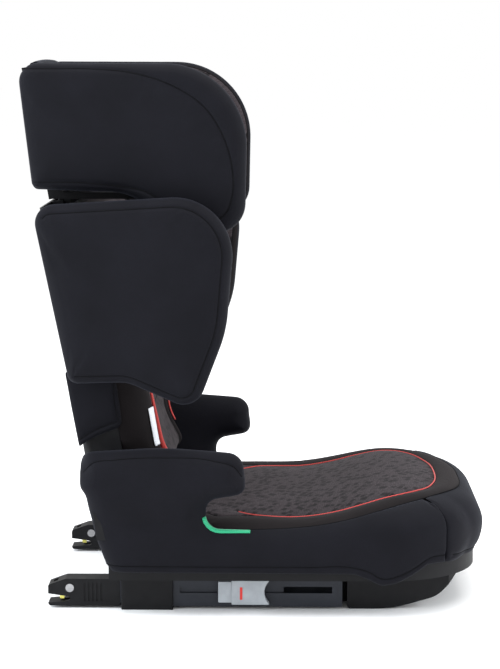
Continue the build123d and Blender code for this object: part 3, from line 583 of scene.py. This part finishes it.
def band(name, lines, lift, thickness, finish):
    """A thin closed strip through lines of 3-D points. Lift is the way it faces, and its edges are
    thinner and sunk into what is below."""
    thin, sunk = 0.5, 0.6
    raised = np.broadcast_to(np.asarray(lift, float), lines[0].shape) * thickness * MM
    first, last = lines[0] + raised * thin, lines[-1] + raised * thin
    tops = [first, *[line + raised for line in lines[1:-1]], last]
    sections = [lines[0] - raised * sunk, *tops, lines[-1] - raised * sunk]
    count, wide = len(lines[0]), len(sections)
    vertices = np.stack(sections, axis=1).reshape(-1, 3)
    faces = []
    for i in range(count - 1):
        for k in range(wide):
            this, other, on = i * wide + k, i * wide + (k + 1) % wide, wide
            faces.append((this, other, other + on, this + on))
    faces += [tuple(range(wide)), tuple(range((count - 1) * wide, count * wide))]
    mesh = bpy.data.meshes.new(name)
    mesh.from_pydata(vertices.tolist(), [], faces)
    mesh.materials.append(finish)
    tidy_normals(mesh)
    return placed(name, mesh)


def mirrored(piece):
    """The right-hand twin of a left-hand piece."""
    twin = piece.copy()
    twin.data = piece.data.copy()
    twin.name = twin.data.name = piece.name.replace("left", "right")
    scene.collection.objects.link(twin)
    if twin.type == "MESH":
        points = positions(twin.data)
        points[:, 0] *= -1
        twin.data.vertices.foreach_set("co", points.astype(np.float32).ravel())
        twin.data.flip_normals()
    else:
        for spline in twin.data.splines:
            for point in spline.points:
                point.co.x *= -1
    return twin


def sewn_lines(seams, place, lift=-0.2):
    """Each seam's line on the finished surface, with lift added to the groove's depth."""
    lines = []
    for seam in seams:
        line = spaced(seam.line, seam.closed, 3.0)
        deep, near = groove(line, [s for s in seams if s.side == seam.side], seam.side)
        lines.append(place(line, np.full(len(line), FAR), seam.side, deep + lift, near))
    return lines


def wear(piece, body, slot, *nodes, fill=None):
    """Puts a piece on its body and hides the CAD solids that it stands for; the slot, which would
    name its finish, is not used.
    """
    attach(piece, body)
    if nodes:
        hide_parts(*nodes)


def wear_both(piece, body, slot, node=None, fill=None):
    """The same for a left-hand piece and its twin. The node is named without its side."""
    for each, side in ((piece, "left"), (mirrored(piece), "right")):
        wear(each, body, slot, *([f"{node}_{side}"] if node else []), fill=fill)


def bulge(share, power=2.0):
    """A rounded edge's height, from 0 at the rim to 1 further in."""
    share = np.clip(share, 0, 1)
    return (1 - (1 - share) ** power) ** (1 / power)


def settle(value, low, high):
    """A smooth step from 0 at low to 1 at high."""
    t = np.clip((value - low) / (high - low), 0, 1)
    return t * t * (3 - 2 * t)


def pillow(near, inside, height, reach, rim=8):
    """How far padding stands out between its seams: near is the distance to a seam, and inside the
    distance in from the rim."""
    return height * (1 - np.exp(-near / reach)) * bulge(inside / rim)


# ---------------------------------------------------------------- wings

REARWARD = np.array((-sin(WING_FLARE), cos(WING_FLARE), 0))
OUTWARD = np.array((cos(WING_FLARE), sin(WING_FLARE), 0))
WING_EDGE = 17.0  # how far in the rounding of a wing's edge reaches


def wing_surface(node, outline):
    """Where a wing's cutting pattern lies: across is rearward along the wing, up is up."""
    points = positions(frame["nodes"][node].data)
    inner_face, outer_face = (points @ OUTWARD).min(), (points @ OUTWARD).max()
    rear = (points @ REARWARD).max() - outline[:, 0].max() * MM
    middle, half = (inner_face + outer_face) / 2, (outer_face - inner_face) / 2

    def place(flat, depth, side, deep, near):
        depth = np.minimum(depth, gap(flat, outline, True))
        dome = 3 * (1 - np.exp(-depth / 40))
        quilting = 0.8 * (1 - np.exp(-np.minimum(near, depth) / 9)) - 0.8
        padding = (dome + quilting - deep) * bulge(depth / 6)
        out = middle + side * (half * bulge(depth / WING_EDGE, 2.2) + padding * MM)
        along = rear + flat[:, 0] * MM
        up = (flat[:, 1] * MM)[:, None] * np.array((0, 0, 1))
        return out[:, None] * OUTWARD + along[:, None] * REARWARD + up

    return place


def make_wing(name, node, body, corners, seam_line, border):
    """A pair of wings with a seam outside and an insert inside, a border's width from the edge."""
    outline = rounded(corners)
    place = wing_surface(f"{node}_left", outline)
    inner_line = inset(outline, border)
    seams = [seam_line(outline), Seam(inner_line, True, -1, SHALLOW_SEAM)]
    regions = [
        (lambda cut, side: (side < 0) & (gap(cut, outline, True) >= 4), BORDER),
        (lambda cut, side: (side < 0) & within(cut, inner_line), INSERT),
    ]
    wing = padded(f"{name}_left", outline, place, seams, WING_EDGE, 3.0, COVER, regions)
    cords = tubes(f"{name}_seams_left", sewn_lines(seams, place), CORD_RADIUS, SEAM_SHADE)
    wear_both(wing, body, "cover_fabric", node, FULL)
    wear_both(cords, body, "cover_fabric")


HEAD_WING = [
    (264, 500, 6), (281, 648, 22), (8, 647, 115), (12, 448, 42), (88, 452, 40), (150, 497, 60)]
TORSO_WING = [
    (219, 276, 12), (262, 484, 22), (20, 500, 72), (34, 340, 150), (70, 246, 25), (150, 279, 40)]


def head_seam(outline):
    """Across the top, wide of the front edge and back along the hem."""
    return Seam(drawn([
        (274, 641), (235, 641), (195, 641), (140, 636), (95, 622), (57, 597), (36, 565), (25, 527),
        (25, 495), (33, 474), (50, 464), (75, 466), (100, 482), (126, 499), (158, 505), (205, 509),
        (260, 509)]))


def torso_seam(outline):
    """Ten millimetres inside the edge all round, but open behind."""
    line = inset(outline, 10)
    return Seam(stretch(line, lambda p: p[:, 0] < 208 + (p[:, 1] - 276) * 0.2))


make_wing("headrest_side", "headrest_wing", "headrest", HEAD_WING, head_seam, 5)
make_wing("torso_side", "torso_wing", "backrest", TORSO_WING, torso_seam, 10)

# ---------------------------------------------------------------- seat: walls, armrests and cushion

WALL_CORNER = (77.0, -149.0, 130.0)  # centre and radius of the wall's front corner, seen from above
SEAM_CORNER = (22.0, -79.0, 170.0)  # centre and radius of the top seam's corner, seen from above
CORNER_END = WALL_CORNER[1] - WALL_CORNER[2] * np.pi / 2
FRONT_MIDDLE = CORNER_END - WALL_CORNER[0]
SIDE_SEAM = -226.6  # along the wall, where side cover and front panel meet
WALL_THICK = 13  # millimetres
SEAM_HEIGHT = through(
    (-250, -223, -188, -143, -104, -66, -27, 9, 40, 110),
    (130.5, 134.6, 133.5, 126.6, 117.8, 111.0, 107.6, 106.3, 106, 106),
)
CROWN_HEIGHT = through(
    (-262, -250, -220, -185, -156, -126, -97, -65, 10, 110),
    (128, 130, 133.5, 137, 134.5, 127, 119, 113, 112, 112),
)


def wall_plan(along):
    """The wall seen from above: its place and the way it faces, at a distance along it."""
    turn = np.clip((WALL_CORNER[1] - along) / WALL_CORNER[2], 0, np.pi / 2)
    facing = np.stack([np.cos(turn), -np.sin(turn)], axis=1)
    spot = np.array(WALL_CORNER[:2]) + facing * WALL_CORNER[2]
    spot[:, 1] += np.maximum(along - WALL_CORNER[1], 0)
    spot[:, 0] -= np.maximum(CORNER_END - along, 0)
    return spot, facing


def shoulder_width(along):
    """How far inside the wall the top seam runs."""
    spot, facing = wall_plan(along)
    away = spot - np.array(SEAM_CORNER[:2])
    reach = (away * facing).sum(1)
    corner = reach - np.sqrt(np.maximum(reach**2 - (away**2).sum(1) + SEAM_CORNER[2] ** 2, 0))
    straight = np.where(along < CORNER_END, 30.0, 15.0)
    is_straight = (along > SEAM_CORNER[1]) | (along < FRONT_MIDDLE + SEAM_CORNER[0])
    return np.where(is_straight, straight, corner)


def top_seam(along):
    """Height of the top seam at a distance along the wall."""
    spot, facing = wall_plan(along)
    return SEAM_HEIGHT((spot - facing * shoulder_width(along)[:, None])[:, 1])


def upright(spot, facing, offset, height):
    """Points at a height, offset outwards from a line seen from above."""
    return np.column_stack([spot + facing * offset[:, None], height]) * MM


FRONT_RUN = np.arange(SIDE_SEAM, 12, 9.0)[::-1]
SIDE_CUT = rounded([
    (176, 57, 8), (190, 95, 60), (198, 130, 60), (201, 148, 8), (208, 158, 8), (208, 198, 16),
    (110, 204, 400), (18, 197, 20), (14, 150, 12), (61, 142, 15), (61, 108, 17),
    *[(a, z, 0) for a, z in zip(FRONT_RUN, top_seam(FRONT_RUN))],
    (SIDE_SEAM, 66, 4), (-202, 66, 12), (-182, 54, 20), (-163, 45, 20), (-144, 42, 12),
    (-128, 50, 8), (-113, 56, 10),
])


SIDE_TOP = stretch(SIDE_CUT, lambda p: (
    (p[:, 1] > 104)
    & ((p[:, 0] < 190) | (p[:, 1] > 185))
    & ((p[:, 0] > SIDE_SEAM + 1) | (p[:, 1] > 133))
))
SIDE_REAR = stretch(SIDE_CUT, lambda p: (p[:, 0] > 172) & (p[:, 1] < 192))
SIDE_HEM = stretch(SIDE_CUT, lambda p: (p[:, 1] < 67) & (p[:, 0] < 172))


def side_surface(flat, depth, side, deep, near):
    """Where a side cover lies: across is along the wall, with the armrest's padding at its rear."""
    along, height = flat[:, 0], flat[:, 1]
    spot, facing = wall_plan(along)
    top, rear, hem = (gap(flat, line, False) for line in (SIDE_TOP, SIDE_REAR, SIDE_HEM))
    inside = gap(flat, SIDE_CUT, True)
    arm = settle(height, 112, 150) * settle(along, -5, 20)
    arm_inside = settle(height, 98, 112) * settle(along, -5, 20)
    shoulder = shoulder_width(along) * (1 - arm) + 22 * arm
    radius = 27 * (1 - arm) + 24 * arm
    outer = 9 * arm - shoulder * (1 - bulge(top / radius))
    outer -= 4 * (1 - bulge(hem / 7)) + 18 * (1 - bulge(rear / 22))
    outer -= 2.5 * (1 - bulge((along - SIDE_SEAM) / 4))
    thick = (WALL_THICK + 26 * settle(along, 150, 178)) * bulge(np.minimum(inside, depth) / 9)
    over_arm = -WALL_THICK - 22 * bulge(top / 24) * bulge(rear / 22)
    inner = (outer - thick) * (1 - arm_inside) + np.minimum(over_arm, outer - 1) * arm_inside
    soft = pillow(np.minimum(near, depth), inside, 2.2, 14)
    shown = (outer + soft - deep) if side > 0 else inner
    return upright(spot, facing, np.broadcast_to(shown, along.shape), height)


def hem_seam():
    """Eight millimetres above the hem, with the dip in front of the bracket."""
    return Seam(drawn([
        (SIDE_SEAM, 75), (-204, 74), (-184, 63), (-164, 54), (-144, 51), (-130, 59), (-112, 64),
        (-60, 64.5), (40, 64.5), (178, 65)]), depth=SHALLOW_SEAM)


ARM_SEAM = Seam(drawn([
    (203, 177), (192, 188.5), (168, 192), (110, 195), (50, 191), (27, 184), (19, 172)]), depth=1.4)


def belt_marker():
    """A green strip along the cover's edge in the notch in front of the armrest."""
    line = stretch(
        SIDE_CUT, lambda p: (p[:, 0] > 6) & (p[:, 0] < 62) & (p[:, 1] > 104) & (p[:, 1] < 127)
    )
    line = line[np.argsort(line[:, 0] + line[:, 1])]
    inwards = np.stack([np.gradient(line[:, 1]), -np.gradient(line[:, 0])], axis=1)
    inwards /= np.linalg.norm(inwards, axis=1)[:, None]
    width = np.linspace(2.6, 4.6, len(line))[:, None]
    far, none = np.full(len(line), FAR), np.zeros(len(line))
    lines = [
        side_surface(line + inwards * width * share, far, 1, none - 0.4, none)
        for share in (0.05, 0.3, 0.6, 1)
    ]
    return band("belt_marker_left", lines, (0.8, 0, 0.5), 1.4, GREEN)


def make_sides():
    seams = [hem_seam(), ARM_SEAM]
    regions = [(lambda cut, side: (side < 0) & (cut[:, 1] < 98), BLACK)]
    wall = padded("side_padding_left", SIDE_CUT, side_surface, seams, 20, 3.0, COVER, regions)
    cords = tubes("side_seams_left", sewn_lines(seams, side_surface), 0.5, SEAM_SHADE)
    marker = belt_marker()
    wear_both(wall, "base", "cover_fabric", "side_cover", FULL)
    wear_both(cords, "base", "cover_fabric")
    wear_both(marker, "base", "green_trim", "lap_belt_marker")


FRONT_HALF = SIDE_SEAM - FRONT_MIDDLE
FRONT_STEPS = np.linspace(-FRONT_HALF, FRONT_HALF, 41)


def front_hem(across):
    """Height of the front panel's hem, which rises towards the sides."""
    return 54 + 12 * (across / FRONT_HALF) ** 2


FRONT_TOP = top_seam(np.abs(FRONT_STEPS) + FRONT_MIDDLE)
FRONT_CUT = rounded([
    *[(s, front_hem(s), 0) for s in FRONT_STEPS],
    *[(s, z, 0) for s, z in zip(FRONT_STEPS[::-1], FRONT_TOP[::-1])],
])


def front_surface(flat, depth, side, deep, near):
    """Where the front panel lies: across is along the wall from its middle."""
    along = np.abs(flat[:, 0]) + FRONT_MIDDLE
    spot, facing = wall_plan(along)
    below = top_seam(along) - flat[:, 1]
    hem = flat[:, 1] - front_hem(flat[:, 0])
    ends = FRONT_HALF - np.abs(flat[:, 0])
    inside = gap(flat, FRONT_CUT, True)
    middle = settle(ends, 0, 60)
    outer = -shoulder_width(along) * (1 - bulge(below / (27 + 13 * middle)))
    outer -= 2.5 * (1 - bulge(ends / 4))
    outer -= (4 + 12 * middle) * (1 - bulge(hem / (7 + 31 * middle))) + 8 * middle
    inner = outer - WALL_THICK * bulge(np.minimum(inside, depth) / 9)
    soft = pillow(np.minimum(near, depth), inside, 2.2, 14)
    shown = (outer + soft - deep) if side > 0 else inner
    points = upright(spot, facing, shown, flat[:, 1])
    points[:, 0] *= np.where(flat[:, 0] < 0, -1, 1)
    return points


def make_front():
    hem = Seam(drawn([(s, front_hem(s) + 9) for s in FRONT_STEPS[1:-1]]), depth=SHALLOW_SEAM)
    front = padded("front_padding", FRONT_CUT, front_surface, [hem], 20, 3.0, COVER)
    # painted shade: dark cords along the hem and the ends, where the panel meets the side covers
    ends = [straight_seam(s, np.linspace(68, 130, 20)) for s in (-FRONT_HALF, FRONT_HALF)]
    cords = tubes("front_seams", sewn_lines([hem, *ends], front_surface), 0.5, SEAM_SHADE)
    wear(front, "base", "cover_fabric", "front_panel", fill=FULL)
    wear(cords, "base", "cover_fabric")


RIM_RUN = np.linspace(FRONT_MIDDLE, 50, 70)


def cushion_cut():
    """The cushion seen from above: it fills the top seam, and narrows between the armrests."""
    spot, facing = wall_plan(RIM_RUN)
    seam = spot - facing * shoulder_width(RIM_RUN)[:, None]
    notch = [(191, 58), (184, 62), (170, 66), (168, 72), (168, 96), (162, 102)]
    side = np.concatenate([seam, notch])
    return spaced(np.concatenate([side, side[::-1][:-1] * (-1, 1)]), True)


CUSHION_CUT = cushion_cut()
U_BEND = [(151, -60), (151, -95), (147, -135), (134, -171), (108, -197), (66, -213)]
U_WHOLE = [*U_BEND, (0, -219), *[(-x, y) for x, y in reversed(U_BEND)]]
PIPING_CUT = drawn([(128, 24), (143, 7), (150, -18), *U_WHOLE, (-150, -18), (-143, 7), (-128, 24)])
INSERT_CUT = spaced(np.concatenate([
    drawn(U_WHOLE),
    rounded([(-150, -55, 0), (-150, 49, 14), (-134, 60, 8), (-134, 96, 0)], False),
    rounded([(134, 96, 0), (134, 60, 8), (150, 49, 14), (150, -55, 0)], False),
]), True)
CUSHION_FLOOR = 96.5  # height of the cushion's underside


def cushion_surface(flat, depth, side, deep, near):
    """Where the cushion lies, seen from above."""
    along = flat[:, 1]
    inside = np.minimum(gap(flat, CUSHION_CUT, True), depth)
    rim = SEAM_HEIGHT(along) + 5 * settle(along, 55, 70)
    crown = np.maximum(CROWN_HEIGHT(along), rim)
    top = rim + (crown - rim) * bulge(inside / 46, 1.8) + 1.6 * (1 - np.exp(-inside / 3))
    top += pillow(near, inside, 2.2, 16) - deep
    bottom = CUSHION_FLOOR + (rim - CUSHION_FLOOR) * (1 - bulge(inside / 8))
    return np.column_stack([flat, top if side > 0 else bottom]) * MM


def make_cushion():
    insert_seam = stretch(INSERT_CUT, lambda p: p[:, 1] > 2)
    seams = [Seam(PIPING_CUT, depth=DEEP_SEAM), Seam(insert_seam, depth=SHALLOW_SEAM)]
    regions = [(lambda cut, side: (side > 0) & within(cut, INSERT_CUT), INSERT)]
    cushion = padded(
        "cushion_padding", CUSHION_CUT, cushion_surface, seams, 14, 4.0, BORDER, regions
    )
    wear(cushion, "base", "insert_fabric", "seat_cushion", fill=FULL)
    piping = tubes("cushion_piping", sewn_lines(seams[:1], cushion_surface, -1.2), 0.85, PIPING)
    wear(piping, "base", "red_piping")
    # painted shade: dark cords along the insert's seam and round the rim, where the cushion meets
    # the walls
    none = np.zeros(len(CUSHION_CUT))
    rim = cushion_surface(CUSHION_CUT, none, 1, none, 0)
    lines = [*sewn_lines(seams[1:], cushion_surface), np.concatenate([rim, rim[:1]])]
    wear(tubes("cushion_seams", lines, 0.6, SEAM_SHADE), "base", "cover_fabric")


def make_rear_flap():
    """The seat cover's rear end, which lies over the hinge bar below the backrest's padding."""
    across = np.linspace(-148, 148, 40)
    profile = through((98, 112, 130, 146, 156), (108.5, 110.5, 115, 119.5, 120.5))
    sag = 1.2 * np.cos(across / 30)
    lines = [
        np.column_stack([across, np.full(len(across), y), profile(y) + sag]) * MM
        for y in np.linspace(98, 156, 12)
    ]
    flap = band("seat_rear_flap", lines, (0, 0, 1), 3.0, BORDER)
    wear(flap, "base", "cover_fabric", fill=THIN)


make_sides()
make_front()
make_cushion()
make_rear_flap()

# ---------------------------------------------------------------- backrest and headrest padding

BACK_FOOT = 176  # how far rearward the backrest's plane meets the floor
BACK_HALF, BACK_LOW, BACK_HIGH = 150, 126, 480  # the pad's half width and its ends, along the plane
BACK_SHELL = 46.4  # how far out from the plane the backrest's shell is
HEAD_HALF, HEAD_LOW, HEAD_HIGH = 102, 508, 643
HEAD_SHELL = 30.4


def leaning(across, up, out):
    """Points of the backrest's own plane: across, up along it and out towards the child."""
    rise, run = cos(BACK_LEAN), sin(BACK_LEAN)
    rearward = BACK_FOOT + run * up - rise * out
    return np.column_stack([across, rearward, rise * up + run * out]) * MM


BACK_CUT = rounded([
    (BACK_HALF, 196, 16), (BACK_HALF, BACK_HIGH, 30), (-BACK_HALF, BACK_HIGH, 30),
    (-BACK_HALF, 196, 16), (-116, BACK_LOW, 16), (116, BACK_LOW, 16)])
BACK_INSERT = rounded([(104, 130, 8), (104, 474, 24), (-104, 474, 24), (-104, 130, 8)])


def back_surface(flat, depth, side, deep, near):
    """Where the backrest's padding lies, in the backrest's plane."""
    across, up = flat[:, 0], flat[:, 1]
    inside = np.minimum(gap(flat, BACK_CUT, True), depth)
    sides = bulge((BACK_HALF - np.abs(across)) / 42)
    ends = bulge(np.minimum(up - BACK_LOW, BACK_HIGH - up) / 22)
    recess = 5 * settle(110 - np.abs(across), 0, 14)
    flare = 14 * settle(190 - up, 0, 60)
    hem = bulge(inside / 9)
    front = BACK_SHELL + (39.6 - recess) * sides * ends * hem + flare * sides * hem
    front += pillow(near, inside, 2.0, 14) - deep
    return leaning(across, up, front if side > 0 else np.full(len(flat), BACK_SHELL))


def make_back():
    seams = [straight_seam(s * 106, np.arange(131, 476, STEP), DEEP_SEAM) for s in (-1, 1)]
    seams += [straight_seam(np.arange(-104, 105, STEP), up, SHALLOW_SEAM) for up in (214, 345)]
    regions = [(lambda cut, side: (side > 0) & within(cut, BACK_INSERT), INSERT)]
    back = padded("backrest_padding", BACK_CUT, back_surface, seams, 20, 4.0, BORDER, regions)
    wear(back, "backrest", "insert_fabric", "backrest_pad", fill=FULL)
    cords = tubes("backrest_seams", sewn_lines(seams, back_surface), CORD_RADIUS, SEAM_SHADE)
    wear(cords, "backrest", "cover_fabric")


def strip_on_back(low, high, places, lifts):
    """Lines of a strip that runs up the backrest's padding, each at its own place and lift."""
    up = np.linspace(low, high, 24)
    far, ones = np.full(24, FAR), np.ones(24)
    return [
        back_surface(np.column_stack([ones * across, up]), far, 1, -lift * ones, far)
        for across, lift in zip(places, lifts)
    ]


TOWARDS_CHILD = (0, -cos(BACK_LEAN), sin(BACK_LEAN))


def make_trims():
    """The label, and the red trim: it stands up out of the seam beside the label, and lies flat on
    the other side."""
    low, high = 168, 246
    height = through((low, 200, high), (7, 5.5, 3))(np.linspace(low, high, 24))
    lifts = [height * share - 1 for share in (0, 0.35, 0.7, 1)]
    standing = strip_on_back(low, high, [-112] * 4, lifts)
    lying = strip_on_back(low, high, (114, 115.5, 117, 118.5), [0.8] * 4)
    for name, lines, way in (("right", standing, (-1, 0, 0)), ("left", lying, TOWARDS_CHILD)):
        trim = band(f"red_trim_{name}", lines, way, 1.3, PIPING)
        wear(trim, "backrest", "red_piping", "backrest_trim")
    lines = strip_on_back(182, 228, (-130, -126, -122, -118), [1.4] * 4)
    label = band("blank_label", lines, TOWARDS_CHILD, 0.8, LABEL)
    wear(label, "backrest", "white_label", "care_label")


HEAD_CUT = rounded([
    (HEAD_HALF, HEAD_LOW, 22), (HEAD_HALF, HEAD_HIGH, 30), (-HEAD_HALF, HEAD_HIGH, 30),
    (-HEAD_HALF, HEAD_LOW, 22)])
HEAD_INSERT = 62  # half its width


def head_surface(flat, depth, side, deep, near):
    """Where the headrest's padding lies, in the backrest's plane."""
    across, up = flat[:, 0], flat[:, 1]
    inside = np.minimum(gap(flat, HEAD_CUT, True), depth)
    cheeks = 6 * settle(np.abs(across), 50, 95)
    ends = np.minimum(np.minimum(up - HEAD_LOW, HEAD_HIGH - up), HEAD_HALF - np.abs(across))
    front = HEAD_SHELL + (38 + cheeks) * bulge(ends / 22) + pillow(near, inside, 2.2, 14) - deep
    return leaning(across, up, front if side > 0 else np.full(len(flat), HEAD_SHELL))


def make_head():
    up = np.arange(512, 640, STEP)
    seams = [straight_seam(s * HEAD_INSERT, up, DEEP_SEAM) for s in (-1, 1)]
    regions = [(lambda cut, side: (side > 0) & (np.abs(cut[:, 0]) < HEAD_INSERT), INSERT)]
    head = padded("headrest_padding", HEAD_CUT, head_surface, seams, 20, 4.0, BORDER, regions)
    wear(head, "headrest", "insert_fabric", "headrest_pad", fill=FULL)
    cords = tubes("headrest_seams", sewn_lines(seams, head_surface), CORD_RADIUS, SEAM_SHADE)
    wear(cords, "headrest", "cover_fabric")


def make_head_roll():
    """The cover's hem, rolled over the headrest shell's top edge."""
    across = np.linspace(-104, 104, 40)
    height = 641 + 1.5 * np.cos(across / 66)
    line = np.column_stack([across, np.full(len(across), 264), height]) * MM
    wear(tubes("headrest_top_roll", [line], 8.5, COVER), "headrest", "cover_fabric")


FLANK_CUT = rounded([
    (229, 290, 4), (170, 290, 4), (161, 222, 8), (192, 210, 8), (209, 200, 6), (212, 194, 3),
    (221, 243, 0)])
FLANK_MIDDLE, FLANK_HALF = 154, 4  # its middle's place across the seat, and half its thickness


def flank_surface(flat, depth, side, deep, near):
    """Where a lower side cover lies, seen from the side."""
    inside = np.minimum(gap(flat, FLANK_CUT, True), depth)
    padding = pillow(near, inside, 1.2, 10, 6) - deep
    across = FLANK_MIDDLE + side * FLANK_HALF * bulge(inside / 6) + padding * (side > 0)
    return np.column_stack([across, flat]) * MM


def make_flanks():
    """Covers at the sides of the backrest's lower part."""
    runs = ([(169, 284), (171, 262), (166, 229)], [(168, 228), (194, 217), (212, 206)])
    seams = [Seam(drawn(run), depth=1.0) for run in runs]
    flank = padded("flank_padding_left", FLANK_CUT, flank_surface, seams, 8, None, COVER)
    cords = tubes("flank_seams_left", sewn_lines(seams, flank_surface), 0.5, SEAM_SHADE)
    wear_both(flank, "backrest", "cover_fabric", "lower_back_cover", THIN)
    wear_both(cords, "backrest", "cover_fabric")


make_back()
make_trims()
make_head()
make_head_roll()
make_flanks()

# ---------------------------------------------------------------- camera, light and floor

camera = placed("camera", bpy.data.cameras.new("camera"))
camera.location = (-2.5371, -0.0269, 0.6638)  # this and the two below are fitted to the photo
camera.rotation_mode = "QUATERNION"
camera.rotation_quaternion = Vector((0.9903, 0.0154, -0.1380)).to_track_quat("-Z", "Y")
camera.data.lens = 110.3
camera.data.clip_end = 100
scene.camera = camera


def lamp(name, place, target, size, power, colour=(1, 1, 1)):
    """A softbox of a size in metres, turned towards a target."""
    light = placed(name, bpy.data.lights.new(name, "AREA"))
    light.data.shape = "RECTANGLE"
    light.data.size, light.data.size_y = size
    light.data.energy = power
    light.data.color = colour
    light.location = place
    light.rotation_mode = "QUATERNION"
    light.rotation_quaternion = (Vector(target) - Vector(place)).to_track_quat("-Z", "Y")


lamp("top_softbox", (-0.3, 0.0, 2.2), (0, 0, 0.3), (2.4, 2.4), 55)
lamp("rear_strip", (-0.9, 2.0, 0.9), (0, 0.1, 0.35), (1.0, 1.8), 55, (0.86, 0.93, 1.0))
lamp("front_strip", (-0.9, -2.2, 0.9), (0, -0.2, 0.2), (1.0, 1.8), 40, (0.92, 0.96, 1.0))

world = bpy.data.worlds.new("studio")
world.use_nodes = True
background = world.node_tree.nodes["Background"]
background.inputs["Color"].default_value = (1, 1, 1, 1)
background.inputs["Strength"].default_value = 1.0
scene.world = world
scene.view_settings.view_transform = "Standard"

floor_mesh = bpy.data.meshes.new("floor")
floor_mesh.from_pydata([(-30, -30, 0), (30, -30, 0), (30, 30, 0), (-30, 30, 0)], [], [(0, 1, 2, 3)])
floor_paint = bpy.data.materials.new("pale_floor")
floor_paint.use_nodes = True
floor_shader = floor_paint.node_tree.nodes["Principled BSDF"]
floor_shader.inputs["Base Color"].default_value = (1, 1, 1, 1)
floor_shader.inputs["Specular IOR Level"].default_value = 0
floor_mesh.materials.append(floor_paint)
placed("floor", floor_mesh)
